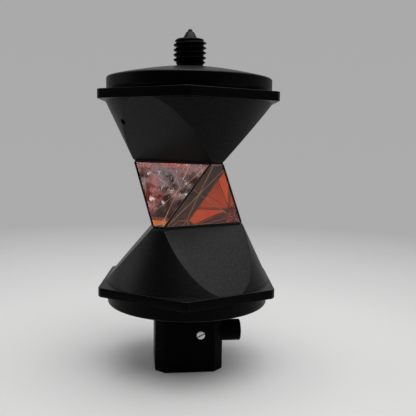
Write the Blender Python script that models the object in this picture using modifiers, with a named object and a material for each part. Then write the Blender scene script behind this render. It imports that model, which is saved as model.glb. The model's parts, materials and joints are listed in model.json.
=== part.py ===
"""A 360 degree survey prism: a ring of six corner cube prisms between two housings.

Frame: origin at the centre of the socket block's foot, +Z up, the block's screw side facing -Y.
The head, which is everything above the block, is turned slightly on the block's spigot.
"""
import math

import bmesh
import bpy
from mathutils import Matrix, Vector

MM = 0.001
GAP = 0.3 * MM              # clearance between pieces that touch on the real object
OVERLAP = 1.0 * MM          # by which a cutter or a joined piece runs past a face

# Heights of the head, measured from the centre of the prism ring
RING_CENTRE = 86.4 * MM
GLASS_HALF = 14.34 * MM
RIM = 15.3 * MM             # where a housing ends, beside the glass
FLANGE_INNER = 43.05 * MM
FLANGE_OUTER = 47.35 * MM
HEAD_TURN = math.radians(-6.1)

# Corner cube prisms
FACE_DISTANCE = 19.92 * MM  # from the ring's centre to each glass face
FACE_TILT = math.asin(1 / 3)
SEAM = 0.84 * MM            # between two prisms
GLASS_ARRIS = 0.2 * MM
GLASS_LAND = 0.6 * MM       # flat strip along a prism's long edge, where it meets a housing

# Housings: a cone with three facets, and a hexagonal flange
CONE_AT_GLASS = 26.47 * MM
CONE_SLOPE = 0.480
FACET_AT_GLASS = 15.21 * MM
FACET_SLOPE = 0.857
HEX_CUT = 46.5 * MM         # from the axis to each cut corner
HEX_CUT_HALF = 1.25 * MM
WALL = 3.6 * MM
FLOOR = 3.4 * MM
RIM_CHAMFER = 0.3 * MM
FLANGE_ROOT = 0.5 * MM      # by which the cone runs into the flange
TENON_RADIUS = 5.0 * MM
TENON_LENGTH = 5.0 * MM
BEDDING_INSET = 0.3 * MM
GRUB_HOLE_RADIUS = 1.2 * MM
GRUB_HOLE_DEPTH = 1.0 * MM
GRUB_HOLE_HEIGHT = 32.9 * MM
GRUB_HOLE_TURN = math.radians(-58)

# Caps and their seals
MOUTH_RADIUS = 36.2 * MM
MOUTH_DEPTH = 6.4 * MM
SKIRT_WALL = 3.0 * MM
SEAL_WIRE = 0.6 * MM
PLATE_HAUNCH_REACH = 4.0 * MM
PLATE_HAUNCH_DROP = 2.0 * MM
TOP_CAP_RADIUS = 39.8 * MM
TOP_CAP_TOP = 145.8 * MM
TOP_CAP_LAND = 13.0 * MM    # radius of the flat middle
TOP_CAP_FALL = 4.98 * MM    # from the flat middle to the rounded edge
TOP_CAP_CROWN = 0.38 * MM   # by which the slope bulges above a straight cone
TOP_CAP_EDGE = 0.9 * MM
TOP_CAP_PLATE = 6.0 * MM
SPOT_FACE_RADIUS = 8.4 * MM  # shallow step in the flat middle, under the antenna stud
SPOT_FACE_DEPTH = 0.15 * MM
CAP_FOOT_HEIGHT = 1.5 * MM
CAP_FOOT_INSET = 0.45 * MM
BOTTOM_CAP_RADIUS = 40.05 * MM
BOTTOM_CAP_TAPER = 0.6 * MM
BOTTOM_CAP_EDGE = 0.8 * MM
BOTTOM_CAP_PLATE = 4.2 * MM

# Antenna stud, 5/8 inch with 11 threads to the inch
THREAD_RADIUS = 7.94 * MM
THREAD_PITCH = 25.4 / 11 * MM
THREAD_DEPTH = 1.4 * MM
THREAD_HALF_ANGLE = math.radians(30)
THREAD_CREST = THREAD_PITCH / 16
THREAD_START = 147.47 * MM
THREAD_FOOT_CHAMFER = 1.9 * MM
THREAD_TOP_CHAMFER = 1.4 * MM
STUD_TOP = 159.45 * MM
THREAD_COLUMNS = 24
THREAD_ROWS_PER_TURN = 6
NECK_RADIUS = 6.36 * MM
SHANK_RADIUS = 5.0 * MM
SHANK_FOOT = 128.9 * MM
TIP_BASE_RADIUS = 3.5 * MM
TIP_NOSE_RADIUS = 1.9 * MM
TIP_CONE_HEIGHT = 3.2 * MM
TIP_TOP = 164.5 * MM
TIP_TENON_RADIUS = 2.0 * MM
TIP_TENON_LENGTH = 6.0 * MM
POINT_RADIUS = 1.2 * MM
POINT_TENON_RADIUS = 0.8 * MM
POINT_TENON_LENGTH = 2.4 * MM
WASHER_RADIUS = 10.0 * MM
WASHER_HEIGHT = 1.5 * MM
NUT_CORNER_RADIUS = 9.6 * MM
NUT_HEIGHT = 6.0 * MM

# Socket block
BLOCK_HALF = 16.45 * MM
BLOCK_CHAMFER = 4.5 * MM
BLOCK_TOP = 31.9 * MM
BLOCK_EDGE = 0.4 * MM
STUB_RADIUS = 6.03 * MM
STUB_DEPTH = 34.5 * MM
STUB_MOUTH = 0.6 * MM
SPIGOT_RADIUS = 10.0 * MM
SPIGOT_TOP = 49.4 * MM
RING_NUT_RADIUS = 15.0 * MM
RING_NUT_HEIGHT = 5.5 * MM
RING_NUT_SLOT = 3.0 * MM
RING_NUT_SLOT_DEPTH = 2.0 * MM

# Latch: a sprung bolt across the socket, its button, and the screw that keeps it in
LATCH_Y = -8.3 * MM
LATCH_Z = 18.3 * MM
LATCH_TRAVEL = 3.0 * MM
BOLT_RADIUS = 3.5 * MM
BOLT_LEFT = -8.5 * MM
BOLT_SHOULDER = 12.2 * MM
BOLT_TENON_RADIUS = 2.0 * MM
BOLT_TENON_END = 18.5 * MM
BOLT_BORE_END = -14.2 * MM
RELIEF_RADIUS = 6.2 * MM
RELIEF_HALF = 8.0 * MM
BUTTON_RADIUS = 5.2 * MM
BUTTON_END = 26.05 * MM
BUTTON_CROWN = 0.6 * MM
BUTTON_EDGE = 0.5 * MM
SCREW_X = 5.33 * MM
SCREW_RADIUS = 2.05 * MM
SCREW_LENGTH = 3.5 * MM
SCREW_SINK = 0.15 * MM      # below the block's face
SCREW_CHAMFER = 0.2 * MM
SCREW_SLOT_WIDTH = 0.7 * MM
SCREW_SLOT_DEPTH = 0.8 * MM
SCREW_SLOT_TURN = math.radians(27)
DOG_RADIUS = 1.2 * MM
DOG_REACH = 1.2 * MM
SPRING_RADIUS = 2.6 * MM
SPRING_WIRE = 0.3 * MM
SPRING_TURNS = 3.5
SPRING_POINTS_PER_TURN = 14

# Facets of round pieces
ROUND_STEPS = 64
BORE_STEPS = 48
SMALL_STEPS = 32
DOME_STEPS = 4
EDGE_STEPS = 3

COLOURS = {
    "black_anodised": ((0.022, 0.023, 0.024), 0.42, 0.85),
    "button_black": ((0.015, 0.015, 0.016), 0.38, 0.2),
    "prism_glass": ((0.36, 0.24, 0.20), 0.06, 0.6),
    "bedding_black": ((0.008, 0.008, 0.008), 0.7, 0.0),
    "seal_rubber": ((0.012, 0.012, 0.012), 0.75, 0.0),
    "turned_steel": ((0.52, 0.52, 0.51), 0.3, 1.0),
    "black_point": ((0.02, 0.018, 0.017), 0.45, 0.1),
}


def clear_scene():
    for old in list(bpy.data.objects):
        bpy.data.objects.remove(old, do_unlink=True)


def new_collection(name):
    collection = bpy.data.collections.new(name)
    bpy.context.scene.collection.children.link(collection)
    return collection


def new_material(name):
    colour, roughness, metallic = COLOURS[name]
    material = bpy.data.materials.new(name)
    material.use_nodes = True
    shader = material.node_tree.nodes["Principled BSDF"]
    shader.inputs["Base Color"].default_value = (*colour, 1.0)
    shader.inputs["Roughness"].default_value = roughness
    shader.inputs["Metallic"].default_value = metallic
    return material


# ---------------------------------------------------------------- building blocks

def add_object(name, mesh, collection, material=None):
    piece = bpy.data.objects.new(name, mesh)
    collection.objects.link(piece)
    if material is not None:
        mesh.materials.append(material)
    return piece


def mesh_from(bm, name, sharp_angle=35):
    mesh = bpy.data.meshes.new(name)
    bmesh.ops.recalc_face_normals(bm, faces=bm.faces)
    bm.to_mesh(mesh)
    bm.free()
    mesh.shade_smooth()
    mesh.set_sharp_from_angle(angle=math.radians(sharp_angle))
    return mesh


def turned(name, profile, collection, material=None, steps=ROUND_STEPS):
    """A solid of revolution about Z. The profile is (radius, z), from the top axis point round."""
    mesh = bpy.data.meshes.new(name)
    points = [(radius, 0.0, z) for radius, z in profile]
    closed = profile[0][0] > 0
    edges = [(i, i + 1) for i in range(len(points) - 1)]
    if closed:
        edges.append((len(points) - 1, 0))
    mesh.from_pydata(points, edges, [])
    piece = add_object(name, mesh, collection, material)
    screw = piece.modifiers.new("Turn", "SCREW")
    screw.steps = steps
    screw.render_steps = steps
    screw.use_merge_vertices = True
    screw.merge_threshold = 0.00001
    screw.use_smooth_shade = True
    return piece


def cylinder(name, radius, low, high, collection, material=None, steps=ROUND_STEPS, top_radius=None):
    """A cylinder or cone along Z from low to high."""
    bm = bmesh.new()
    bmesh.ops.create_cone(
        bm, cap_ends=True, segments=steps, radius1=radius,
        radius2=radius if top_radius is None else top_radius, depth=high - low,
        matrix=Matrix.Translation((0, 0, (low + high) / 2)))
    return add_object(name, mesh_from(bm, name), collection, material)


def block(name, low, high, collection, material=None):
    bm = bmesh.new()
    size = Vector(high) - Vector(low)
    centre = (Vector(high) + Vector(low)) / 2
    bmesh.ops.create_cube(bm, size=1.0, matrix=Matrix.Translation(centre) @ Matrix.Diagonal((*size, 1.0)))
    return add_object(name, mesh_from(bm, name), collection, material)


def plate(name, outline, low, high, collection, material=None):
    """A flat piece with a straight-sided outline, as a filled 2D curve."""
    curve = bpy.data.curves.new(name + "_outline", "CURVE")
    curve.dimensions = "2D"
    curve.fill_mode = "BOTH"
    curve.extrude = (high - low) / 2
    spline = curve.splines.new("POLY")
    spline.points.add(len(outline) - 1)
    for point, (x, y) in zip(spline.points, outline):
        point.co = (x, y, 0.0, 1.0)
    spline.use_cyclic_u = True
    guide = bpy.data.objects.new(name + "_outline", curve)
    collection.objects.link(guide)
    bpy.context.view_layer.update()
    evaluated = guide.evaluated_get(bpy.context.evaluated_depsgraph_get())
    mesh = bpy.data.meshes.new_from_object(evaluated)
    bpy.data.objects.remove(guide, do_unlink=True)
    bm = bmesh.new()
    bm.from_mesh(mesh)
    bpy.data.meshes.remove(mesh)
    bmesh.ops.remove_doubles(bm, verts=bm.verts, dist=0.00001)
    bmesh.ops.translate(bm, verts=bm.verts, vec=(0, 0, (low + high) / 2))
    return add_object(name, mesh_from(bm, name), collection, material)


def combine(piece, cutter, operation):
    modifier = piece.modifiers.new(operation.title() + "_" + cutter.name, "BOOLEAN")
    modifier.object = cutter
    modifier.operation = operation
    modifier.solver = "EXACT"


def cut(piece, *cutters):
    for cutter in cutters:
        combine(piece, cutter, "DIFFERENCE")


def join(piece, *others):
    for other in others:
        combine(piece, other, "UNION")


def hide_tools(collection):
    for tool in collection.objects:
        tool.hide_render = True
        tool.display_type = "WIRE"


def direction(azimuth):
    """Unit vector at an azimuth measured from -Y towards +X."""
    return Vector((math.sin(azimuth), -math.cos(azimuth), 0.0))


def polar(azimuth, radial, sideways=0.0):
    """A point in plan at a distance out and a distance to the side of a radial line."""
    out = direction(azimuth)
    point = out * radial + direction(azimuth + math.pi / 2) * sideways
    return (point.x, point.y)


# ---------------------------------------------------------------- prism ring

def prism_side(index):
    """Azimuth of a prism, and +1 where its face leans back at the top or -1 at the bottom."""
    azimuth = math.radians(-30 + 60 * index)
    lean = 1 if index % 2 == 0 else -1
    return azimuth, lean


def prism_axes(index):
    """A prism's optical axis, and the direction in its face towards the corner that is cut off."""
    azimuth, lean = prism_side(index)
    axis = direction(azimuth) * math.cos(FACE_TILT) + Vector((0, 0, lean * math.sin(FACE_TILT)))
    upright = (Vector((0, 0, 1)) - axis * axis.z).normalized()
    return axis, upright * -lean


def cube_edges(axis, corner):
    """Directions of a corner cube's three inner edges, square to one another."""
    half_side = corner.cross(axis) * math.sqrt(3) / 2
    spokes = (corner, -half_side - corner / 2, half_side - corner / 2)
    return [(axis + spoke * math.sqrt(2)).normalized() for spoke in spokes]


def seat_side_distance():
    """From the ring's centre to the side of each prism that bears on a seat."""
    land = FACE_DISTANCE / math.cos(FACE_TILT) - GLASS_HALF * math.tan(FACE_TILT) - GLASS_LAND
    return (land * math.sqrt(2) - GLASS_HALF) / math.sqrt(3)


def corner_cube(index, name, collection, material, slab):
    """A corner cube: a three-sided pyramid whose apex stands a little out from the ring's centre."""
    axis, corner = prism_axes(index)
    edges = cube_edges(axis, corner)
    apex = edges[0] * seat_side_distance() + (edges[1] + edges[2]) * SEAM / 2
    depth = FACE_DISTANCE - apex.dot(axis)
    turn = Matrix((corner.cross(axis), corner, axis)).transposed()
    bm = bmesh.new()
    bmesh.ops.create_cone(
        bm, cap_ends=True, segments=3, radius1=0.0, radius2=depth * math.sqrt(2), depth=depth,
        matrix=Matrix.Translation(apex) @ turn.to_4x4() @ Matrix.Translation((0, 0, depth / 2)))
    piece = add_object(name, mesh_from(bm, name), collection, material)
    combine(piece, slab, "INTERSECT")
    arris = piece.modifiers.new("Arris", "BEVEL")
    arris.width = GLASS_ARRIS
    arris.segments = 1
    return piece


def ring_outline(top, inset):
    """Hexagon of the glass ring at its top or bottom, drawn in by an inset."""
    lean_back = GLASS_HALF * math.tan(FACE_TILT)
    middle = FACE_DISTANCE / math.cos(FACE_TILT)
    near = middle - lean_back - inset
    far = middle + lean_back - inset
    wide_half = (2 * far - near) / math.sqrt(3)
    start = -30 if top else 30
    points = []
    for k in range(3):
        azimuth = math.radians(start + 120 * k)
        points += [polar(azimuth, near, -wide_half), polar(azimuth, near, wide_half)]
    return points


def glass_slab(tools):
    reach = 2 * FACE_DISTANCE
    return block("glass_slab", (-reach, -reach, -GLASS_HALF), (reach, reach, GLASS_HALF), tools)


def bedding(name, top, collection, material, tools):
    """Thin black ring between the glass and a housing, with a hole for the seat's tenon."""
    side = 1 if top else -1
    low, high = sorted((side * (GLASS_HALF + GAP), side * (RIM - GAP)))
    ring = plate(name, ring_outline(top, BEDDING_INSET), low, high, collection, material)
    cut(ring, cylinder(name + "_hole", TENON_RADIUS + GAP, low - OVERLAP, high + OVERLAP, tools,
                       steps=SMALL_STEPS))
    return ring


def prism_clearance(index, tools):
    """A cube square to a prism's inner sides, clear of the glass by half a seam."""
    axis, corner = prism_axes(index)
    edges = cube_edges(axis, corner)
    reach = 3 * FACE_DISTANCE
    tool = block(f"prism_clearance_{index}", (0, 0, 0), (reach, reach, reach), tools)
    corner_point = edges[0] * (seat_side_distance() - SEAM / 2)
    tool.data.transform(Matrix.Translation(corner_point) @ Matrix(edges).transposed().to_4x4())
    return tool


def seat(name, top, collection, material, tools):
    """Boss that fills the hollow above or below the prisms, with a round tenon."""
    side = 1 if top else -1
    spread = seat_side_distance() * math.sqrt(3 / 2) - SEAM
    low, high = GAP, GLASS_HALF
    bm = bmesh.new()
    bmesh.ops.create_cone(
        bm, cap_ends=True, segments=3, radius1=2 * spread + low * math.sqrt(2),
        radius2=2 * spread + high * math.sqrt(2), depth=high - low,
        matrix=Matrix.Translation((0, 0, (high + low) / 2)))
    # The cone's first corner is at +Y, which is an azimuth of 180 degrees
    turn = math.radians(30 if top else -30) - math.pi
    flip = Matrix.Diagonal((1, 1, side, 1))
    bmesh.ops.transform(bm, verts=bm.verts, matrix=flip @ Matrix.Rotation(turn, 4, "Z"))
    boss = add_object(name, mesh_from(bm, name), collection, material)
    cut(boss, *[prism_clearance(index, tools) for index in range(1 if top else 0, 6, 2)])
    tenon_low, tenon_high = sorted((side * (high - OVERLAP), side * (RIM + FLOOR + TENON_LENGTH)))
    join(boss, cylinder(name + "_tenon", TENON_RADIUS, tenon_low, tenon_high, tools, steps=SMALL_STEPS))
    return boss


# ---------------------------------------------------------------- housings

def cone_radius(height):
    return CONE_AT_GLASS + CONE_SLOPE * (height - GLASS_HALF)


def facet_distance(height):
    return FACET_AT_GLASS + FACET_SLOPE * (height - GLASS_HALF)


def facet_cutter(index, tools):
    """A block whose inner side lies on one facet of the upper housing."""
    lean = math.atan(FACET_SLOPE)
    reach = FLANGE_OUTER
    tool = block(f"facet_{index}", (-reach, -reach, -reach), (reach, 0, reach), tools)
    azimuth = math.radians(-30 + 120 * index)
    foot = direction(azimuth) * FACET_AT_GLASS + Vector((0, 0, GLASS_HALF))
    turn = Matrix.Rotation(azimuth, 4, "Z") @ Matrix.Rotation(lean, 4, "X")
    tool.data.transform(Matrix.Translation(foot) @ turn)
    return tool


def flange_outline():
    points = []
    for k in range(6):
        azimuth = math.radians(60 * k)
        points += [polar(azimuth, HEX_CUT, -HEX_CUT_HALF), polar(azimuth, HEX_CUT, HEX_CUT_HALF)]
    return points


def housing_hollow(tools):
    """The housing's inside: a cone down to the floor, a ledge, and the cap's mouth."""
    floor = RIM + FLOOR
    ledge = FLANGE_OUTER - MOUTH_DEPTH
    inner_floor = facet_distance(floor) - WALL
    inner_ledge = facet_distance(ledge) - WALL
    tenon = TENON_RADIUS + GAP
    profile = [
        (0.0, FLANGE_OUTER + OVERLAP), (MOUTH_RADIUS, FLANGE_OUTER + OVERLAP), (MOUTH_RADIUS, ledge),
        (inner_ledge, ledge), (inner_floor, floor), (tenon, floor), (tenon, RIM - OVERLAP),
        (0.0, RIM - OVERLAP)]
    return turned("housing_hollow", profile, tools)


def housing_mesh(tools):
    """A housing the upper way up: cone, facets, flange and hollow, as one mesh."""
    cone_top = FLANGE_INNER + FLANGE_ROOT
    body = cylinder("housing_body", cone_radius(RIM), RIM, cone_top, tools, top_radius=cone_radius(cone_top))
    chamfer = body.modifiers.new("Rim", "BEVEL")
    chamfer.width = RIM_CHAMFER
    chamfer.segments = 1
    cut(body, *[facet_cutter(index, tools) for index in range(3)])
    join(body, plate("flange", flange_outline(), FLANGE_INNER, FLANGE_OUTER, tools))
    cut(body, housing_hollow(tools))
    bpy.context.view_layer.update()
    evaluated = body.evaluated_get(bpy.context.evaluated_depsgraph_get())
    return bpy.data.meshes.new_from_object(evaluated)


def grub_hole(tools):
    """Blind hole square to the axis, made along +Z and laid along the radius that it lies on."""
    outer = cone_radius(GRUB_HOLE_HEIGHT)
    hole = cylinder("grub_hole", GRUB_HOLE_RADIUS, outer - GRUB_HOLE_DEPTH, outer + OVERLAP, tools,
                    steps=SMALL_STEPS)
    hole.location.z = GRUB_HOLE_HEIGHT
    hole.rotation_euler = (math.pi / 2, 0.0, GRUB_HOLE_TURN)
    return hole


def housings(collection, material, tools):
    """The lower housing is the upper one upside down: half a turn about a flange corner's line."""
    mesh = housing_mesh(tools)
    mesh.materials.clear()
    upper = add_object("upper_housing", mesh, collection, material)
    lower = add_object("lower_housing", mesh.copy(), collection)
    lower.rotation_euler = (0.0, math.pi, 0.0)
    cut(upper, grub_hole(tools))


# ---------------------------------------------------------------- caps

def edge_arc(radius, round_radius, start, face_z):
    """Rounding from a face that falls outwards at an angle to an upright wall, as (radius, z) points."""
    centre_z = face_z - round_radius * math.cos(start)
    points = []
    for k in range(EDGE_STEPS + 1):
        angle = start + (math.pi / 2 - start) * k / EDGE_STEPS
        points.append((radius - round_radius * (1 - math.sin(angle)), centre_z + round_radius * math.cos(angle)))
    return points


def top_cap_crown(top):
    """Profile of the top cap's outside: flat middle, crowned slope and rounded edge."""
    lean = math.atan((TOP_CAP_FALL + 4 * TOP_CAP_CROWN) / (TOP_CAP_RADIUS - TOP_CAP_LAND))
    reach = TOP_CAP_RADIUS - TOP_CAP_EDGE * (1 - math.sin(lean)) - TOP_CAP_LAND
    points = []
    for k in range(DOME_STEPS):
        t = k / DOME_STEPS
        points.append((TOP_CAP_LAND + reach * t, top - TOP_CAP_FALL * t + 4 * TOP_CAP_CROWN * t * (1 - t)))
    return points + edge_arc(TOP_CAP_RADIUS, TOP_CAP_EDGE, lean, top - TOP_CAP_FALL)


def underside(top, plate, bore):
    """Profile of a cap's inside: skirt in the housing's mouth, haunch and plate, in to the bore."""
    outer = MOUTH_RADIUS - GAP
    inner = outer - SKIRT_WALL
    foot = FLANGE_OUTER - MOUTH_DEPTH + 2 * SEAL_WIRE + 2 * GAP
    under = top - plate
    return [(outer, FLANGE_OUTER + GAP), (outer, foot), (inner, foot), (inner, under - PLATE_HAUNCH_DROP),
            (inner - PLATE_HAUNCH_REACH, under), (bore, under)]


def top_cap(collection, material):
    top = TOP_CAP_TOP - RING_CENTRE
    bore = SHANK_RADIUS + GAP
    foot = FLANGE_OUTER + GAP
    spot_face = top - SPOT_FACE_DEPTH
    profile = [(bore, spot_face), (SPOT_FACE_RADIUS, spot_face), (SPOT_FACE_RADIUS, top)] + top_cap_crown(top)
    profile += [(TOP_CAP_RADIUS, foot + CAP_FOOT_HEIGHT), (TOP_CAP_RADIUS - CAP_FOOT_INSET, foot)]
    profile += underside(top, TOP_CAP_PLATE, bore)
    return turned("top_cap", profile, collection, material)


def bottom_cap(collection, material):
    """Modelled upright like the top cap, then turned over."""
    top = RING_CENTRE - BLOCK_TOP - GAP
    bore = SPIGOT_RADIUS + GAP
    profile = [(bore, top)] + edge_arc(BOTTOM_CAP_RADIUS - BOTTOM_CAP_TAPER, BOTTOM_CAP_EDGE, 0.0, top)
    profile += [(BOTTOM_CAP_RADIUS, FLANGE_OUTER + GAP)] + underside(top, BOTTOM_CAP_PLATE, bore)
    cap = turned("bottom_cap", profile, collection, material)
    cap.rotation_euler = (math.pi, 0.0, 0.0)
    return cap


def seal(name, side, collection, material):
    """O-ring between a cap's skirt and its housing's ledge."""
    ledge = FLANGE_OUTER - MOUTH_DEPTH
    bpy.ops.mesh.primitive_torus_add(
        major_radius=MOUTH_RADIUS - SEAL_WIRE - GAP, minor_radius=SEAL_WIRE,
        major_segments=48, minor_segments=6)
    ring = bpy.context.object
    ring.name = name
    ring.data.shade_smooth()
    ring.data.materials.append(material)
    for owner in list(ring.users_collection):
        owner.objects.unlink(ring)
    collection.objects.link(ring)
    ring.location.z = side * (ledge + SEAL_WIRE + GAP)
    return ring


# ---------------------------------------------------------------- antenna stud

def thread_radius(phase):
    """Radius of a 60 degree thread at a phase from 0 to 1 along one pitch."""
    flank = (THREAD_PITCH * abs(phase - 0.5) - THREAD_CREST) / math.tan(THREAD_HALF_ANGLE)
    return THREAD_RADIUS - min(max(flank, 0.0), THREAD_DEPTH)


def thread_mesh(name, low, high):
    """A solid whose side follows the thread's helix, drawn in at both ends by a chamfer."""
    bm = bmesh.new()
    rows = round((high - low) / THREAD_PITCH * THREAD_ROWS_PER_TURN)
    rings = []
    for row in range(rows + 1):
        z = low + (high - low) * row / rows
        chamfer = max(THREAD_FOOT_CHAMFER - (z - low), THREAD_TOP_CHAMFER - (high - z), 0.0)
        limit = THREAD_RADIUS - chamfer
        ring = []
        for column in range(THREAD_COLUMNS):
            turn = column / THREAD_COLUMNS
            phase = ((z - low) / THREAD_PITCH - turn) % 1.0
            radius = min(thread_radius(phase), limit)
            angle = 2 * math.pi * turn
            ring.append(bm.verts.new((radius * math.cos(angle), radius * math.sin(angle), z)))
        rings.append(ring)
    for lower, upper in zip(rings, rings[1:]):
        for column in range(THREAD_COLUMNS):
            after = (column + 1) % THREAD_COLUMNS
            bm.faces.new((lower[column], lower[after], upper[after], upper[column]))
    bm.faces.new(rings[-1])
    bm.faces.new(list(reversed(rings[0])))
    return mesh_from(bm, name, 80)


def antenna_stud(collection, material, tools):
    low = THREAD_START - RING_CENTRE
    high = STUD_TOP - RING_CENTRE
    stud = add_object("antenna_stud", thread_mesh("antenna_stud", low, high), collection, material)
    neck_foot = TOP_CAP_TOP - SPOT_FACE_DEPTH + GAP - RING_CENTRE
    foot = SHANK_FOOT - RING_CENTRE
    profile = [(0.0, low + OVERLAP), (NECK_RADIUS, low + OVERLAP), (NECK_RADIUS, neck_foot),
               (SHANK_RADIUS, neck_foot), (SHANK_RADIUS, foot), (0.0, foot)]
    join(stud, turned("stud_shank", profile, tools, steps=SMALL_STEPS))
    bore = TIP_TENON_RADIUS + GAP
    cut(stud, cylinder("tip_socket", bore, high - TIP_TENON_LENGTH - GAP, high + OVERLAP, tools,
                       steps=SMALL_STEPS))
    return stud


def stud_tip(collection, material):
    foot = STUD_TOP - RING_CENTRE + GAP
    top = foot + TIP_CONE_HEIGHT
    socket = POINT_TENON_RADIUS + GAP
    profile = [(0.0, top - POINT_TENON_LENGTH - GAP), (socket, top - POINT_TENON_LENGTH - GAP), (socket, top),
               (TIP_NOSE_RADIUS, top), (TIP_BASE_RADIUS, foot), (TIP_TENON_RADIUS, foot),
               (TIP_TENON_RADIUS, foot - TIP_TENON_LENGTH), (0.0, foot - TIP_TENON_LENGTH)]
    return turned("stud_tip", profile, collection, material, steps=SMALL_STEPS)


def tip_point(collection, material):
    foot = STUD_TOP - RING_CENTRE + GAP + TIP_CONE_HEIGHT + GAP
    profile = edge_arc(POINT_RADIUS, POINT_RADIUS, 0.0, TIP_TOP - RING_CENTRE)
    profile += [(POINT_RADIUS, foot), (POINT_TENON_RADIUS, foot),
                (POINT_TENON_RADIUS, foot - POINT_TENON_LENGTH), (0.0, foot - POINT_TENON_LENGTH)]
    return turned("tip_point", profile, collection, material, steps=SMALL_STEPS)


def washer_and_nut(collection, material, tools):
    top = TOP_CAP_TOP - TOP_CAP_PLATE - GAP - RING_CENTRE
    bore = SHANK_RADIUS + GAP
    profile = [(WASHER_RADIUS, top), (WASHER_RADIUS, top - WASHER_HEIGHT),
               (bore, top - WASHER_HEIGHT), (bore, top)]
    turned("stud_washer", profile, collection, material, steps=SMALL_STEPS)
    nut_top = top - WASHER_HEIGHT - GAP
    nut = cylinder("stud_nut", NUT_CORNER_RADIUS, nut_top - NUT_HEIGHT, nut_top, collection, material, steps=6)
    cut(nut, cylinder("nut_bore", bore, nut_top - NUT_HEIGHT - OVERLAP, nut_top + OVERLAP, tools,
                      steps=SMALL_STEPS))


# ---------------------------------------------------------------- socket block

def chamfered_block(name, collection, material):
    bm = bmesh.new()
    size = Vector((2 * BLOCK_HALF, 2 * BLOCK_HALF, BLOCK_TOP))
    bmesh.ops.create_cube(
        bm, size=1.0, matrix=Matrix.Translation((0, 0, BLOCK_TOP / 2)) @ Matrix.Diagonal((*size, 1.0)))
    upright = [e for e in bm.edges if abs(e.verts[0].co.z - e.verts[1].co.z) > BLOCK_TOP / 2]
    bmesh.ops.bevel(bm, geom=upright, offset=BLOCK_CHAMFER, segments=1, affect="EDGES")
    level = [e for e in bm.edges if abs(e.verts[0].co.z - e.verts[1].co.z) < BLOCK_TOP / 2]
    bmesh.ops.bevel(bm, geom=level, offset=BLOCK_EDGE, segments=1, affect="EDGES")
    return add_object(name, mesh_from(bm, name), collection, material)


def along_x(piece):
    """Lay a piece made along +Z on the latch's axis, pointing to +X."""
    piece.location = (0.0, LATCH_Y, LATCH_Z)
    piece.rotation_euler = (0.0, math.pi / 2, 0.0)
    return piece


def latch_bores(tools):
    counterbore = BUTTON_RADIUS + GAP
    button_floor = BOLT_SHOULDER - LATCH_TRAVEL - GAP
    bolt_bore = along_x(cylinder("bolt_bore", BOLT_RADIUS + GAP, BOLT_BORE_END, button_floor + OVERLAP, tools,
                                 steps=SMALL_STEPS))
    button_bore = along_x(cylinder("button_bore", counterbore, button_floor, BLOCK_HALF + OVERLAP, tools,
                                   steps=SMALL_STEPS))
    return bolt_bore, button_bore


def screw_bore(tools):
    hole = cylinder("screw_bore", SCREW_RADIUS + GAP, -BLOCK_HALF - OVERLAP, LATCH_Y, tools,
                    steps=SMALL_STEPS)
    hole.location = (SCREW_X, 0.0, LATCH_Z)
    hole.rotation_euler = (-math.pi / 2, 0.0, 0.0)
    return hole


def socket_block(collection, material, tools):
    base = chamfered_block("socket_block", collection, material)
    join(base, cylinder("spigot", SPIGOT_RADIUS, BLOCK_TOP - OVERLAP, SPIGOT_TOP, tools, steps=BORE_STEPS))
    profile = [(0.0, STUB_DEPTH), (STUB_RADIUS, STUB_DEPTH), (STUB_RADIUS, STUB_MOUTH),
               (STUB_RADIUS + STUB_MOUTH + OVERLAP, -OVERLAP), (0.0, -OVERLAP)]
    cut(base, turned("stub_bore", profile, tools, steps=BORE_STEPS), *latch_bores(tools), screw_bore(tools))
    return base


def ring_nut(collection, material, tools):
    low = BLOCK_TOP + GAP + BOTTOM_CAP_PLATE + GAP
    high = low + RING_NUT_HEIGHT
    reach = RING_NUT_RADIUS + OVERLAP
    half = RING_NUT_SLOT / 2
    nut = cylinder("socket_ring_nut", RING_NUT_RADIUS, low, high, collection, material, steps=BORE_STEPS)
    bore = cylinder("ring_nut_bore", SPIGOT_RADIUS + GAP, low - OVERLAP, high + OVERLAP, tools,
                    steps=BORE_STEPS)
    slot = block("ring_nut_slot", (-reach, -half, high - RING_NUT_SLOT_DEPTH), (reach, half, high + OVERLAP),
                 tools)
    cut(nut, bore, slot)
    return nut


# ---------------------------------------------------------------- latch

def lock_bolt(collection, material, tools):
    profile = [(0.0, BOLT_TENON_END), (BOLT_TENON_RADIUS, BOLT_TENON_END), (BOLT_TENON_RADIUS, BOLT_SHOULDER),
               (BOLT_RADIUS, BOLT_SHOULDER), (BOLT_RADIUS, BOLT_LEFT), (0.0, BOLT_LEFT)]
    bolt = along_x(turned("lock_bolt", profile, collection, material, steps=SMALL_STEPS))
    relief = cylinder("bolt_relief", RELIEF_RADIUS, LATCH_Z - RELIEF_HALF, LATCH_Z + RELIEF_HALF, tools)
    relief.location.x = LATCH_TRAVEL
    dog_side = DOG_RADIUS + GAP
    front = LATCH_Y - BOLT_RADIUS
    slot = block("dog_slot", (SCREW_X - dog_side, front - OVERLAP, LATCH_Z - dog_side),
                 (SCREW_X + dog_side + LATCH_TRAVEL, front + DOG_REACH, LATCH_Z + dog_side), tools)
    cut(bolt, relief, slot)
    return bolt


def lock_button(collection, material):
    shoulder_x = BOLT_SHOULDER + GAP
    socket = BOLT_TENON_RADIUS + GAP
    socket_end = BOLT_TENON_END + GAP
    profile = []
    for k in range(DOME_STEPS + 1):
        t = k / DOME_STEPS
        profile.append(((BUTTON_RADIUS - BUTTON_EDGE) * t, BUTTON_END - BUTTON_CROWN * t ** 2))
    profile += [(BUTTON_RADIUS, BUTTON_END - BUTTON_CROWN - BUTTON_EDGE), (BUTTON_RADIUS, shoulder_x),
                (socket, shoulder_x), (socket, socket_end), (0.0, socket_end)]
    return along_x(turned("lock_button", profile, collection, material, steps=SMALL_STEPS))


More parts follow.
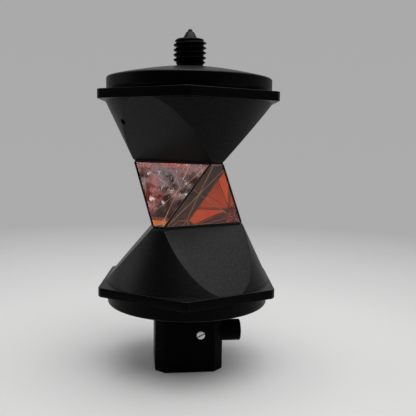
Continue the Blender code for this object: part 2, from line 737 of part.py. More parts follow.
def lock_spring(collection, material):
    """Compression spring between the bolt's left end and the end of its bore."""
    low = BOLT_BORE_END + GAP + SPRING_WIRE
    high = BOLT_LEFT - GAP - SPRING_WIRE
    count = round(SPRING_TURNS * SPRING_POINTS_PER_TURN)
    curve = bpy.data.curves.new("lock_spring", "CURVE")
    curve.dimensions = "3D"
    curve.bevel_depth = SPRING_WIRE
    curve.bevel_resolution = 1
    curve.use_fill_caps = True
    spline = curve.splines.new("POLY")
    spline.points.add(count)
    for k, point in enumerate(spline.points):
        angle = 2 * math.pi * k / SPRING_POINTS_PER_TURN
        z = low + (high - low) * k / count
        point.co = (SPRING_RADIUS * math.cos(angle), SPRING_RADIUS * math.sin(angle), z, 1.0)
    curve.materials.append(material)
    spring = bpy.data.objects.new("lock_spring", curve)
    collection.objects.link(spring)
    return along_x(spring)


def retaining_screw(collection, material, tools):
    """Slotted grub screw with a dog point, made along +Z and laid along +Y."""
    face = -BLOCK_HALF + SCREW_SINK
    dog_end = LATCH_Y - BOLT_RADIUS + DOG_REACH - GAP
    shank_end = face + SCREW_LENGTH
    profile = [(0.0, dog_end), (DOG_RADIUS, dog_end), (DOG_RADIUS, shank_end), (SCREW_RADIUS, shank_end),
               (SCREW_RADIUS, face + SCREW_CHAMFER), (SCREW_RADIUS - SCREW_CHAMFER, face), (0.0, face)]
    screw = turned("retaining_screw", profile, collection, material, steps=SMALL_STEPS)
    half = SCREW_SLOT_WIDTH / 2
    reach = SCREW_RADIUS + OVERLAP
    slot = block("screw_slot", (-reach, -half, face - OVERLAP), (reach, half, face + SCREW_SLOT_DEPTH), tools)
    slot.data.transform(Matrix.Rotation(-SCREW_SLOT_TURN, 4, "Z"))
    slot.parent = screw
    cut(screw, slot)
    screw.location = (SCREW_X, 0.0, LATCH_Z)
    screw.rotation_euler = (-math.pi / 2, 0.0, 0.0)
    return screw


# ---------------------------------------------------------------- assembly

def build_head(parts, tools, materials):
    black = materials["black_anodised"]
    steel = materials["turned_steel"]
    slab = glass_slab(tools)
    for index in range(6):
        corner_cube(index, f"prism_{index + 1}", parts, materials["prism_glass"], slab)
    for name, top in (("upper", True), ("lower", False)):
        bedding(name + "_gasket", top, parts, materials["bedding_black"], tools)
        seat(name + "_seat", top, parts, materials["bedding_black"], tools)
    housings(parts, black, tools)
    top_cap(parts, black)
    bottom_cap(parts, black)
    seal("top_seal", 1, parts, materials["seal_rubber"])
    seal("bottom_seal", -1, parts, materials["seal_rubber"])
    antenna_stud(parts, black, tools)
    stud_tip(parts, steel)
    tip_point(parts, materials["black_point"])
    washer_and_nut(parts, steel, tools)


def turn_head(collections):
    """Everything above the block hangs on an empty at the ring's centre, turned on the spigot."""
    centre = bpy.data.objects.new("head", None)
    centre.empty_display_type = "PLAIN_AXES"
    bpy.context.scene.collection.objects.link(centre)
    for collection in collections:
        for piece in collection.objects:
            if piece.parent is None:
                piece.parent = centre
    centre.location.z = RING_CENTRE
    centre.rotation_euler.z = HEAD_TURN


def build_socket(parts, tools, materials):
    black = materials["black_anodised"]
    steel = materials["turned_steel"]
    socket_block(parts, black, tools)
    ring_nut(parts, steel, tools)
    lock_bolt(parts, steel, tools)
    lock_button(parts, materials["button_black"])
    lock_spring(parts, steel)
    retaining_screw(parts, steel, tools)


def main():
    clear_scene()
    parts = new_collection("survey_prism")
    tools = new_collection("cutters")
    materials = {name: new_material(name) for name in COLOURS}
    build_head(parts, tools, materials)
    turn_head((parts, tools))
    build_socket(parts, tools, materials)
    hide_tools(tools)


main()
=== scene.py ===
"""Looks of the 360 degree survey prism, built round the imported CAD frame."""
import json
import math

import bmesh
import bpy
from mathutils import Matrix, Vector

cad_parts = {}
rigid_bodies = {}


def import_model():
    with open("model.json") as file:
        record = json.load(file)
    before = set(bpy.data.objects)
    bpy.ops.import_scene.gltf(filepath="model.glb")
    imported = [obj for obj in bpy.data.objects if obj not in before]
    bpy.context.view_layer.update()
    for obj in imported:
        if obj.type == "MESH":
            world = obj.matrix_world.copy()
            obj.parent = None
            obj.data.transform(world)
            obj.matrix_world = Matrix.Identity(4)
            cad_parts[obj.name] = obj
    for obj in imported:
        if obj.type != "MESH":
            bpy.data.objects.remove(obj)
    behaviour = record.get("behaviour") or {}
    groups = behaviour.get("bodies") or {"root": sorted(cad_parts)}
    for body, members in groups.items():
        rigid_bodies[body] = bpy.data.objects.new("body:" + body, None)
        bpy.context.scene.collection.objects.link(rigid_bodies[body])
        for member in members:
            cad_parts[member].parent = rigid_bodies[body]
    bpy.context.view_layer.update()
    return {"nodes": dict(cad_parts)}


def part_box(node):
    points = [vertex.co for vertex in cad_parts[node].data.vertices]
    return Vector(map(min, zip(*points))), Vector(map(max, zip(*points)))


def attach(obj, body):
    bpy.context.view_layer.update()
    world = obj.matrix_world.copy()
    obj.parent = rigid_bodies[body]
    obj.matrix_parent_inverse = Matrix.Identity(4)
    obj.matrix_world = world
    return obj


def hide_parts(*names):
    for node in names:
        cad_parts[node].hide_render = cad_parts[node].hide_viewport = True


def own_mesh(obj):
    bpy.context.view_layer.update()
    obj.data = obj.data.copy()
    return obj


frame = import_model()

MM = 0.001
GAP = 0.3 * MM
OVERLAP = 1.0 * MM          # by which a cutter or a joined piece runs past a face
SKIN = 0.02 * MM            # by which neighbouring fine pieces are kept apart or overlap

# Places that come from the frame
ring_low, ring_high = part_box("prism_1")
RING_CENTRE = (ring_low.z + ring_high.z) / 2
GLASS_HALF = (ring_high.z - ring_low.z) / 2
housing_low, housing_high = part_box("upper_housing")
RIM = housing_low.z - RING_CENTRE
FLANGE_OUTER = housing_high.z - RING_CENTRE
TOP_CAP_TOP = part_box("top_cap")[1].z - RING_CENTRE
block_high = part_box("socket_block")[1]
BLOCK_HALF = block_high.x
SPIGOT_TOP = block_high.z
BLOCK_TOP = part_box("bottom_cap")[0].z - GAP
STUD_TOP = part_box("antenna_stud")[1].z - RING_CENTRE
TIP_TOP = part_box("tip_point")[1].z - RING_CENTRE
button_low, button_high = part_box("lock_button")

# Shape of the head, as the CAD has it
HEAD_TURN = math.radians(-6.1)
FACE_DISTANCE = 19.92 * MM
FACE_TILT = math.asin(1 / 3)
SEAM = 0.84 * MM
GLASS_LAND = 0.6 * MM
ARRIS = 0.22 * MM
BEDDING_INSET = 0.1 * MM
BEDDING_CORNER_FILLET = 0.3 * MM
BEDDING_EDGE = 0.1 * MM
BEAD_PROUD = 0.28 * MM
BEAD_BULGE = 0.45 * MM
BEAD_DEPTH = 3.5 * MM
CONE_AT_GLASS = 26.47 * MM
CONE_SLOPE = 0.480
FACET_AT_GLASS = 15.21 * MM
FACET_SLOPE = 0.857
FLANGE_INNER = 43.05 * MM
HEX_CUT = 46.5 * MM
HEX_CUT_HALF = 1.25 * MM
FLANGE_CORNER_FILLET = 0.55 * MM
FLANGE_EDGE = 0.22 * MM
FLANGE_LAP = 0.5 * MM
RIM_CHAMFER = 0.3 * MM
RIM_SOFTNESS = 0.12 * MM
FACET_EDGE_FILLET = 0.35 * MM
WALL = 3.6 * MM
FLOOR = 3.4 * MM
MOUTH_RADIUS = 36.2 * MM
MOUTH_DEPTH = 6.4 * MM
TENON_HOLE = 5.3 * MM
GRUB_HOLE_RADIUS = 1.2 * MM
GRUB_HOLE_LIP = 0.15 * MM
GRUB_HOLE_DEPTH = 1.0 * MM
GRUB_HOLE_HEIGHT = 32.9 * MM
GRUB_HOLE_TURN = math.radians(-58)
TOP_CAP_RADIUS = 39.8 * MM
TOP_CAP_LAND = 13.0 * MM
TOP_CAP_FALL = 4.98 * MM
TOP_CAP_CROWN = 0.38 * MM
TOP_CAP_EDGE = 0.9 * MM
TOP_CAP_PLATE = 6.0 * MM
SPOT_FACE_RADIUS = 8.4 * MM
SPOT_FACE_DEPTH = 0.15 * MM
CAP_FOOT_HEIGHT = 1.5 * MM
CAP_FOOT_INSET = 0.45 * MM
SKIRT_WALL = 3.0 * MM
PLATE_HAUNCH_REACH = 4.0 * MM
PLATE_HAUNCH_DROP = 2.0 * MM
BOTTOM_CAP_RADIUS = 40.05 * MM
BOTTOM_CAP_TAPER = 0.6 * MM
BOTTOM_CAP_EDGE = 0.8 * MM
BOTTOM_CAP_PLATE = 4.2 * MM
TOP_FOOT_EDGE = 0.08 * MM
BOTTOM_FOOT_EDGE = 0.15 * MM
SKIRT_RISE = 1.8 * MM

# Stud, block and latch
THREAD_RADIUS = 7.94 * MM
THREAD_PITCH = 25.4 / 11 * MM
THREAD_DEPTH = 1.4 * MM
THREAD_FOOT = 61.07 * MM
THREAD_FOOT_CHAMFER = 1.9 * MM
THREAD_TOP_CHAMFER = 1.4 * MM
NECK_RADIUS = 6.36 * MM
NECK_EDGE = 0.2 * MM
SHANK_RADIUS = 5.0 * MM
SHANK_FOOT = 42.5 * MM
TIP_BASE_RADIUS = 3.5 * MM
TIP_NOSE_RADIUS = 1.9 * MM
TIP_CONE_HEIGHT = 3.2 * MM
TIP_NOSE_EDGE = 0.05 * MM
TIP_BASE_EDGE = 0.25 * MM
TIP_PIN_RADIUS = 2.0 * MM
TIP_PIN_LENGTH = 5 * MM
POINT_RADIUS = 1.2 * MM
POINT_PIN_RADIUS = 1.0 * MM
POINT_PIN_LENGTH = 0.5 * MM
POINT_HOLE_RADIUS = 1.1 * MM
POINT_HOLE_DEPTH = 0.6 * MM
BLOCK_CHAMFER = 4.5 * MM
BLOCK_FILLET = 1.2 * MM
BLOCK_EDGE = 0.35 * MM
STUB_RADIUS = 6.03 * MM
STUB_DEPTH = 34.5 * MM
STUB_MOUTH = 0.6 * MM
SPIGOT_RADIUS = 10.0 * MM
LATCH_Y = -8.3 * MM
LATCH_Z = 18.3 * MM
BUTTON_RADIUS = 5.2 * MM
BUTTON_CROWN = 0.6 * MM
BUTTON_EDGE = 0.45 * MM
BUTTON_SEAT = 8.9 * MM
BUTTON_PIN_HOLE_RADIUS = 2.3 * MM
BUTTON_PIN_HOLE_END = 18.8 * MM
BOLT_BORE_RADIUS = 3.8 * MM
BOLT_BORE_END = -14.2 * MM
SCREW_X = 5.33 * MM
SCREW_RADIUS = 2.05 * MM
SCREW_SINK = 0.1 * MM
SCREW_LENGTH = 3.4 * MM
SCREW_EDGE = 0.18 * MM
SCREW_SLOT_WIDTH = 0.7 * MM
SCREW_SLOT_DEPTH = 0.8 * MM
SCREW_SLOT_TURN = math.radians(27)
DOG_RADIUS = 1.2 * MM
DOG_END = 10.9 * MM
SPRING_WIRE = 0.3 * MM
SPRING_TURNS = 3.5

# Slanting line where the bright things mirrored in the glass stop
CLUTTER_SLANT = (0.248, 0.719, 0.649)
CLUTTER_EDGE = -0.145

ROUND_STEPS = 192
UPPER_FACETS = [math.radians(-30 + 120 * k) for k in range(3)]


# ---------------------------------------------------------------- building blocks

def direction(azimuth):
    """Unit vector at an azimuth measured from -Y towards +X."""
    return Vector((math.sin(azimuth), -math.cos(azimuth), 0.0))


def place_on_head(piece, upside_down=False):
    """Stand a piece made round the ring's centre on the head's turned axis, or hang it there."""
    turn = Matrix.Translation((0, 0, RING_CENTRE)) @ Matrix.Rotation(HEAD_TURN, 4, "Z")
    if upside_down:
        turn = turn @ Matrix.Rotation(math.pi, 4, "Y")
    piece.data.transform(turn)
    return piece


def finish_mesh(bm, name, sharp_degrees=28.0):
    mesh = bpy.data.meshes.new(name)
    bmesh.ops.recalc_face_normals(bm, faces=bm.faces)
    bm.to_mesh(mesh)
    bm.free()
    mesh.shade_smooth()
    mesh.set_sharp_from_angle(angle=math.radians(sharp_degrees))
    return mesh


def add_object(name, mesh, material=None):
    piece = bpy.data.objects.new(name, mesh)
    bpy.context.scene.collection.objects.link(piece)
    if material is not None:
        mesh.materials.append(material)
    return piece


def loft(name, rings, material=None, sharp_degrees=28.0):
    """Closed solid through rings of points with the same count, with a flat cap at each end."""
    bm = bmesh.new()
    rows = [[bm.verts.new(point) for point in ring] for ring in rings]
    count = len(rows[0])
    for lower, upper in zip(rows, rows[1:]):
        for k in range(count):
            after = (k + 1) % count
            bm.faces.new((lower[k], lower[after], upper[after], upper[k]))
    bm.faces.new(list(reversed(rows[0])))
    bm.faces.new(rows[-1])
    return add_object(name, finish_mesh(bm, name, sharp_degrees), material)


def turned(name, profile, material=None, steps=ROUND_STEPS, sharp_degrees=28.0):
    """Solid of revolution about Z from (radius, z) points, top to bottom on the outer side."""
    bm = bmesh.new()
    rows = []
    for radius, z in profile:
        if radius <= 0:
            rows.append([bm.verts.new((0.0, 0.0, z))])
        else:
            rows.append([bm.verts.new((radius * math.cos(2 * math.pi * k / steps),
                                       radius * math.sin(2 * math.pi * k / steps), z)) for k in range(steps)])
    if profile[0][0] > 0:
        rows.append(rows[0])
    for upper, lower in zip(rows, rows[1:]):
        for k in range(steps):
            after = (k + 1) % steps
            corners = [upper[k % len(upper)], lower[k % len(lower)], lower[after % len(lower)],
                       upper[after % len(upper)]]
            unique = list(dict.fromkeys(corners))
            bm.faces.new(unique)
    return add_object(name, finish_mesh(bm, name, sharp_degrees), material)


def arc(centre_r, centre_z, radius_r, radius_z, start, end, steps):
    """Points of an elliptical arc in a profile; angles in degrees from the outward direction."""
    points = []
    for k in range(steps + 1):
        angle = math.radians(start + (end - start) * k / steps)
        points.append((centre_r + radius_r * math.cos(angle), centre_z + radius_z * math.sin(angle)))
    return points


def rounded_polygon(sides, fillet, steps):
    """Plan outline of straight sides given as (azimuth, distance), with every corner rounded."""
    points = []
    for (a1, d1), (a2, d2) in zip(sides, sides[1:] + sides[:1]):
        n1, n2 = direction(a1), direction(a2)
        across = n1.x * n2.y - n1.y * n2.x
        c1, c2 = d1 - fillet, d2 - fillet
        centre = Vector(((c1 * n2.y - c2 * n1.y) / across, (c2 * n1.x - c1 * n2.x) / across, 0.0))
        turn = (a2 - a1) % (2 * math.pi)
        for k in range(steps + 1):
            points.append(centre + direction(a1 + turn * k / steps) * fillet)
    return points


def rounded_plate(name, sides, fillet, low, high, edge, material=None, steps=6, edge_steps=3):
    """Plate with a rounded outline and rounded upper and lower edges."""
    rings = []
    for side in (-1, 1):
        base = low + edge if side < 0 else high - edge
        for k in range(edge_steps + 1):
            part = k / edge_steps if side > 0 else 1 - k / edge_steps
            angle = math.pi / 2 * part
            inset = edge * (1 - math.cos(angle))
            z = base + side * edge * math.sin(angle)
            shrunk = [(azimuth, distance - inset) for azimuth, distance in sides]
            rings.append([Vector((p.x, p.y, z)) for p in rounded_polygon(shrunk, fillet - inset, steps)])
    return loft(name, rings, material)


def combine(piece, tool, operation):
    modifier = piece.modifiers.new(operation.title(), "BOOLEAN")
    modifier.object = tool
    modifier.operation = operation
    modifier.solver = "EXACT"


def apply_all(piece, tools=(), sharp_degrees=28.0):
    """Bake a piece's modifiers into its mesh and remove the tools that shaped it."""
    bpy.context.view_layer.update()
    evaluated = piece.evaluated_get(bpy.context.evaluated_depsgraph_get())
    mesh = bpy.data.meshes.new_from_object(evaluated)
    piece.modifiers.clear()
    piece.data = mesh
    for tool in tools:
        bpy.data.objects.remove(tool, do_unlink=True)
    mesh.shade_smooth()
    mesh.set_sharp_from_angle(angle=math.radians(sharp_degrees))
    return piece


def soften(piece, width, segments=2, angle=30.0):
    bevel = piece.modifiers.new("Soften", "BEVEL")
    bevel.width = width
    bevel.segments = segments
    bevel.limit_method = "ANGLE"
    bevel.angle_limit = math.radians(angle)
    bevel.use_clamp_overlap = True


# ---------------------------------------------------------------- materials

def new_material(name):
    material = bpy.data.materials.new(name)
    material.use_nodes = True
    return material, material.node_tree, material.node_tree.nodes["Principled BSDF"]


def add_node(tree, kind, inputs=None, **settings):
    """A node with settings as attributes and inputs as values or as links from sockets."""
    node = tree.nodes.new(kind)
    for key, value in settings.items():
        setattr(node, key, value)
    for key, value in (inputs or {}).items():
        if isinstance(value, bpy.types.NodeSocket):
            tree.links.new(value, node.inputs[key])
        else:
            node.inputs[key].default_value = value
    return node


def noise(tree, scale, detail=4.0, roughness=0.55, vector=None):
    inputs = {"Scale": scale, "Detail": detail, "Roughness": roughness}
    if vector is not None:
        inputs["Vector"] = vector
    return add_node(tree, "ShaderNodeTexNoise", inputs)


def object_space(tree, scale=(1.0, 1.0, 1.0)):
    place = add_node(tree, "ShaderNodeTexCoord")
    mapping = add_node(tree, "ShaderNodeMapping", {"Vector": place.outputs["Object"], "Scale": scale})
    return mapping.outputs["Vector"]


def spread(tree, source, low, high, source_low=0.0, source_high=1.0):
    """Remap a socket's values to a range."""
    return add_node(tree, "ShaderNodeMapRange", {
        "Value": source, "From Min": source_low, "From Max": source_high,
        "To Min": low, "To Max": high}).outputs["Result"]


def blend_colours(tree, factor, first, second):
    mix = add_node(tree, "ShaderNodeMix", data_type="RGBA")
    tree.links.new(factor, mix.inputs["Factor"])
    mix.inputs["A"].default_value = (*first, 1.0)
    mix.inputs["B"].default_value = (*second, 1.0)
    return mix.outputs["Result"]


def bump(tree, height, distance, strength=1.0, normal=None):
    inputs = {"Height": height, "Distance": distance, "Strength": strength}
    if normal is not None:
        inputs["Normal"] = normal
    return add_node(tree, "ShaderNodeBump", inputs).outputs["Normal"]


def facing_up_or_down(tree, start, full, down_part=0.55):
    """0 on upright faces, rising to 1 as the normal leans up, or to a part of that as it leans down."""
    geometry = add_node(tree, "ShaderNodeNewGeometry")
    split = add_node(tree, "ShaderNodeSeparateXYZ", {"Vector": geometry.outputs["Normal"]})
    lean = add_node(tree, "ShaderNodeMath", {0: split.outputs["Z"]}, operation="ABSOLUTE")
    ramp = add_node(tree, "ShaderNodeMapRange", {
        "Value": lean.outputs["Value"], "From Min": start, "From Max": full}, interpolation_type="SMOOTHSTEP")
    part = spread(tree, split.outputs["Z"], down_part, 1.0, -0.1, 0.1)
    return add_node(tree, "ShaderNodeMath", {0: ramp.outputs["Result"], 1: part},
                    operation="MULTIPLY").outputs["Value"]


def black_anodised(name, grain=1.0, sheen=0.33, upright_sheen=0.05, roughness=0.38, turned_marks=False):
    """Aluminium with bead blasting, anodised black: fine grain and faint cloudiness; the reflection strength
    is a painted sheen set by the normal's direction, strongest on faces leaning up, weaker on faces leaning
    down, weakest on upright faces.
    """
    material, tree, shader = new_material(name)
    space = object_space(tree)
    cloud = noise(tree, 60.0, 3.0, vector=space)
    speckle = noise(tree, 2200.0, 2.0, 0.6, vector=space)
    grit = noise(tree, 1100.0, 2.0, 0.7, vector=space)
    pits = add_node(tree, "ShaderNodeTexVoronoi", {"Vector": space, "Scale": 1500.0})
    tone = blend_colours(tree, spread(tree, speckle.outputs["Fac"], 0.0, 1.0, 0.3, 0.7),
                         (0.0006, 0.0007, 0.0007), (0.0022, 0.0026, 0.0025))
    tree.links.new(tone, shader.inputs["Base Color"])
    shader.inputs["IOR"].default_value = 1.41
    # Painted sheen and shade: faces leaning up are made more reflective, faces leaning down less, upright
    # faces least.
    slope = facing_up_or_down(tree, 0.12, 0.62)
    blasting = spread(tree, grit.outputs["Fac"], 0.75, 1.25, 0.3, 0.7)
    # Blast grit varies the painted sheen by a quarter either way.
    grain_and_painted_sheen = add_node(tree, "ShaderNodeMath", {0: spread(tree, slope, upright_sheen, sheen), 1: blasting},
                       operation="MULTIPLY")
    tree.links.new(grain_and_painted_sheen.outputs["Value"], shader.inputs["Specular IOR Level"])
    tree.links.new(spread(tree, cloud.outputs["Fac"], roughness - 0.04, roughness + 0.04, 0.3, 0.7),
                   shader.inputs["Roughness"])
    normal = bump(tree, pits.outputs["Distance"], 0.00005 * grain, 0.4)
    normal = bump(tree, speckle.outputs["Fac"], 0.00004 * grain, 0.5, normal)
    if turned_marks:
        normal = bump(tree, turning_marks(tree, 5200.0), 0.00001, 0.25, normal)
    tree.links.new(normal, shader.inputs["Normal"])
    return material


def turning_marks(tree, scale):
    """Fine concentric rings about the piece's own Z axis, as a lathe leaves them."""
    place = add_node(tree, "ShaderNodeTexCoord")
    split = add_node(tree, "ShaderNodeSeparateXYZ", {"Vector": place.outputs["Object"]})
    flat = add_node(tree, "ShaderNodeCombineXYZ", {"X": split.outputs["X"], "Y": split.outputs["Y"]})
    reach = add_node(tree, "ShaderNodeVectorMath", {0: flat.outputs["Vector"]}, operation="LENGTH")
    along = add_node(tree, "ShaderNodeCombineXYZ", {"X": reach.outputs["Value"], "Y": split.outputs["Z"]})
    return noise(tree, scale, 2.0, vector=along.outputs["Vector"]).outputs["Fac"]


def turned_steel():
    """Bright turned steel with fine rings round the piece's own axis."""
    material, tree, shader = new_material("turned_steel")
    marks = turning_marks(tree, 3800.0)
    tone = blend_colours(tree, marks, (0.50, 0.49, 0.47), (0.70, 0.69, 0.67))
    tree.links.new(tone, shader.inputs["Base Color"])
    shader.inputs["Metallic"].default_value = 1.0
    tree.links.new(spread(tree, marks, 0.22, 0.36), shader.inputs["Roughness"])
    tree.links.new(bump(tree, marks, 0.00002, 0.3), shader.inputs["Normal"])
    return material


def dark_steel():
    """Blackened turned steel with a low gloss."""
    material, tree, shader = new_material("dark_steel")
    marks = turning_marks(tree, 4200.0)
    tone = blend_colours(tree, marks, (0.003, 0.003, 0.003), (0.007, 0.007, 0.007))
    tree.links.new(tone, shader.inputs["Base Color"])
    shader.inputs["Specular IOR Level"].default_value = 0.12
    tree.links.new(spread(tree, marks, 0.16, 0.26), shader.inputs["Roughness"])
    tree.links.new(bump(tree, marks, 0.00002, 0.3), shader.inputs["Normal"])
    return material


def plain_black(name, tone, roughness, grain_scale):
    """Matt black rubber, adhesive or plastic with a fine uneven skin."""
    material, tree, shader = new_material(name)
    skin = noise(tree, grain_scale, 3.0, vector=object_space(tree))
    dark = tuple(0.7 * tone for _ in range(3))
    light = tuple(1.3 * tone for _ in range(3))
    tree.links.new(blend_colours(tree, skin.outputs["Fac"], dark, light), shader.inputs["Base Color"])
    shader.inputs["Specular IOR Level"].default_value = 0.25
    tree.links.new(spread(tree, skin.outputs["Fac"], roughness - 0.06, roughness + 0.06),
                   shader.inputs["Roughness"])
    tree.links.new(bump(tree, skin.outputs["Fac"], 0.00004, 0.4), shader.inputs["Normal"])
    return material


def optical_glass():
    """Polished glass that lets lamps through to the faces behind it."""
    material, tree, shader = new_material("prism_glass")
    haze = noise(tree, 180.0, 4.0, vector=object_space(tree))
    tree.links.new(blend_colours(tree, haze.outputs["Fac"], (0.97, 0.975, 0.97), (0.99, 0.995, 0.99)),
                   shader.inputs["Base Color"])
    shader.inputs["Roughness"].default_value = 0.0
    shader.inputs["Transmission Weight"].default_value = 1.0
    shader.inputs["IOR"].default_value = 1.517
    through = add_node(tree, "ShaderNodeBsdfTransparent")
    path = add_node(tree, "ShaderNodeLightPath")
    mix = add_node(tree, "ShaderNodeMixShader")
    tree.links.new(path.outputs["Is Shadow Ray"], mix.inputs[0])
    tree.links.new(shader.outputs["BSDF"], mix.inputs[1])
    tree.links.new(through.outputs["BSDF"], mix.inputs[2])
    tree.links.new(mix.outputs["Shader"], tree.nodes["Material Output"].inputs["Surface"])
    return material


def copper_mirror():
    """Copper coating seen through the glass: a clean mirror with faint cloudy tarnish."""
    material, tree, shader = new_material("copper_coating")
    cloud = noise(tree, 220.0, 5.0, vector=object_space(tree))
    tone = blend_colours(tree, spread(tree, cloud.outputs["Fac"], 0.0, 1.0, 0.4, 0.7),
                         (0.94, 0.59, 0.31), (0.90, 0.55, 0.285))
    tree.links.new(tone, shader.inputs["Base Color"])
    shader.inputs["Metallic"].default_value = 1.0
    shader.inputs["Roughness"].default_value = 0.01
    return material


def copper_edge():
    """Ground edges of the prisms, where the coating lies on matt glass."""
    material, tree, shader = new_material("copper_edge")
    grain = noise(tree, 1500.0, 3.0, vector=object_space(tree))
    tone = blend_colours(tree, grain.outputs["Fac"], (0.90, 0.52, 0.38), (1.0, 0.70, 0.56))
    tree.links.new(tone, shader.inputs["Base Color"])
    shader.inputs["Metallic"].default_value = 0.4
    shader.inputs["Roughness"].default_value = 0.5
    return material


def ground_end_painted_reflection():
    """Ground ends of the prisms, dark, in a red-brown that is a painted dim copper reflection showing through
    the glass.
    """
    material, tree, shader = new_material("ground_end_painted_reflection")
    grain = noise(tree, 260.0, 4.0, vector=object_space(tree))
    # Red-brown: painted reflection of the copper faces on the dark ground ends.
    tree.links.new(blend_colours(tree, grain.outputs["Fac"], (0.09, 0.03, 0.022), (0.20, 0.07, 0.05)),
                   shader.inputs["Base Color"])
    shader.inputs["Roughness"].default_value = 0.6
    return material


# ---------------------------------------------------------------- housings

def cone_radius(height):
    return CONE_AT_GLASS + CONE_SLOPE * (height - GLASS_HALF)


def facet_distance(height):
    return FACET_AT_GLASS + FACET_SLOPE * (height - GLASS_HALF)


def housing_section(height, inset, fillet):
    """Plan section of a housing: a circle with three chords, the corners between them rounded."""
    radius = cone_radius(height) - inset
    facet = facet_distance(height) - inset
    swing = math.acos(min((facet - fillet) / (radius - fillet), 1.0))
    half_chord = (radius - fillet) * math.sin(swing)
    chord_steps, fillet_steps, arc_steps = 8, 4, 34
    points = []
    for azimuth in UPPER_FACETS:
        out, side = direction(azimuth), direction(azimuth + math.pi / 2)
        for k in range(chord_steps + 1):
            points.append(out * facet + side * half_chord * (2 * k / chord_steps - 1))
        centre = out * (facet - fillet) + side * half_chord
        for k in range(1, fillet_steps + 1):
            angle = swing * k / fillet_steps
            points.append(centre + (out * math.cos(angle) + side * math.sin(angle)) * fillet)
        start, end = azimuth + swing, azimuth + 2 * math.pi / 3 - swing
        for k in range(1, arc_steps + 1):
            points.append(direction(start + (end - start) * k / arc_steps) * radius)
        next_out = direction(azimuth + 2 * math.pi / 3)
        next_side = direction(azimuth + 2 * math.pi / 3 - math.pi / 2)
        centre = next_out * (facet - fillet) + next_side * half_chord
        for k in range(1, fillet_steps):
            angle = swing * (1 - k / fillet_steps)
            points.append(centre + (next_out * math.cos(angle) + next_side * math.sin(angle)) * fillet)
    return [Vector((p.x, p.y, height)) for p in points]


def flange_sides():
    """The flange's hexagon and its six corner cuts, as (azimuth, distance)."""
    apothem = (HEX_CUT + HEX_CUT_HALF * math.tan(math.pi / 6)) * math.cos(math.pi / 6)
    sides = []
    for k in range(6):
        sides.append((math.radians(60 * k), HEX_CUT))
        sides.append((math.radians(60 * k + 30), apothem))
    return sides


def housing_hollow():
    floor = RIM + FLOOR
    ledge = FLANGE_OUTER - MOUTH_DEPTH
    profile = [
        (0.0, FLANGE_OUTER + OVERLAP), (MOUTH_RADIUS, FLANGE_OUTER + OVERLAP), (MOUTH_RADIUS, ledge),
        (facet_distance(ledge) - WALL, ledge), (facet_distance(floor) - WALL, floor),
        (TENON_HOLE, floor), (TENON_HOLE, RIM - OVERLAP), (0.0, RIM - OVERLAP)]
    return turned("housing_hollow", profile, steps=96)


def housing(material):
    """Cone with three facets, a chamfered rim by the glass and the hexagonal flange."""
    edge_fillet, softness = FACET_EDGE_FILLET, RIM_SOFTNESS
    rows = [(RIM, RIM_CHAMFER), (RIM + softness, RIM_CHAMFER - softness),
            (RIM + RIM_CHAMFER - softness, softness), (RIM + RIM_CHAMFER + softness, 0.0)]
    first = RIM + RIM_CHAMFER + softness
    steps = 44
    last = FLANGE_INNER + FLANGE_LAP
    rows += [(first + (last - first) * k / steps, 0.0) for k in range(1, steps + 1)]
    sections = [housing_section(height, inset, edge_fillet) for height, inset in rows]
    body = loft("upper_housing_shell", sections, material)
    flange = rounded_plate("flange", flange_sides(), FLANGE_CORNER_FILLET, FLANGE_INNER, FLANGE_OUTER,
                           FLANGE_EDGE)
    hollow = housing_hollow()
    combine(body, flange, "UNION")
    combine(body, hollow, "DIFFERENCE")
    return apply_all(body, (flange, hollow), 20.0)


def grub_hole():
    """Blind hole along a radius of the cone, made along +Z."""
    outer = cone_radius(GRUB_HOLE_HEIGHT)
    lip = GRUB_HOLE_LIP
    hole = turned("grub_hole", [
        (0.0, outer + OVERLAP), (GRUB_HOLE_RADIUS + lip, outer + OVERLAP),
        (GRUB_HOLE_RADIUS + lip, outer + lip / 3), (GRUB_HOLE_RADIUS, outer - lip),
        (GRUB_HOLE_RADIUS, outer - GRUB_HOLE_DEPTH), (0.0, outer - 1.3 * GRUB_HOLE_DEPTH)], steps=48)
    hole.location.z = GRUB_HOLE_HEIGHT
    hole.rotation_euler = (math.pi / 2, 0.0, GRUB_HOLE_TURN)
    return hole


def build_housings(material):
    upper = housing(material)
    lower = add_object("lower_housing_shell", upper.data.copy())
    hole = grub_hole()
    combine(upper, hole, "DIFFERENCE")
    apply_all(upper, (hole,), 20.0)
    place_on_head(upper)
    place_on_head(lower, upside_down=True)
    for piece, node in ((upper, "upper_housing"), (lower, "lower_housing")):
        fit(piece, "head", "black_anodised", node)


def fit(piece, body, slot, *nodes):
    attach(piece, body)
    if nodes:
        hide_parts(*nodes)


# ---------------------------------------------------------------- caps

def top_cap_crown():
    """Profile of the top cap's outside: flat middle, crowned slope and rounded edge."""
    steps = 28
    lean = math.atan((TOP_CAP_FALL + 4 * TOP_CAP_CROWN) / (TOP_CAP_RADIUS - TOP_CAP_LAND))
    reach = TOP_CAP_RADIUS - TOP_CAP_EDGE * (1 - math.sin(lean)) - TOP_CAP_LAND
    points = []
    for k in range(steps):
        t = k / steps
        drop = TOP_CAP_FALL * t - 4 * TOP_CAP_CROWN * t * (1 - t)
        points.append((TOP_CAP_LAND + reach * t, TOP_CAP_TOP - drop))
    centre_z = TOP_CAP_TOP - TOP_CAP_FALL - TOP_CAP_EDGE * math.cos(lean)
    return points + arc(TOP_CAP_RADIUS - TOP_CAP_EDGE, centre_z, TOP_CAP_EDGE, TOP_CAP_EDGE,
                        90 - math.degrees(lean), 0, 8)


def underside(top, plate, bore):
    """Profile of a cap's inside: skirt in the housing's mouth, haunch and plate, in to the bore."""
    outer = MOUTH_RADIUS - GAP
    inner = outer - SKIRT_WALL
    foot = FLANGE_OUTER - MOUTH_DEPTH + SKIRT_RISE
    under = top - plate
    return [(outer, FLANGE_OUTER + GAP), (outer, foot), (inner, foot), (inner, under - PLATE_HAUNCH_DROP),
            (inner - PLATE_HAUNCH_REACH, under), (bore, under)]


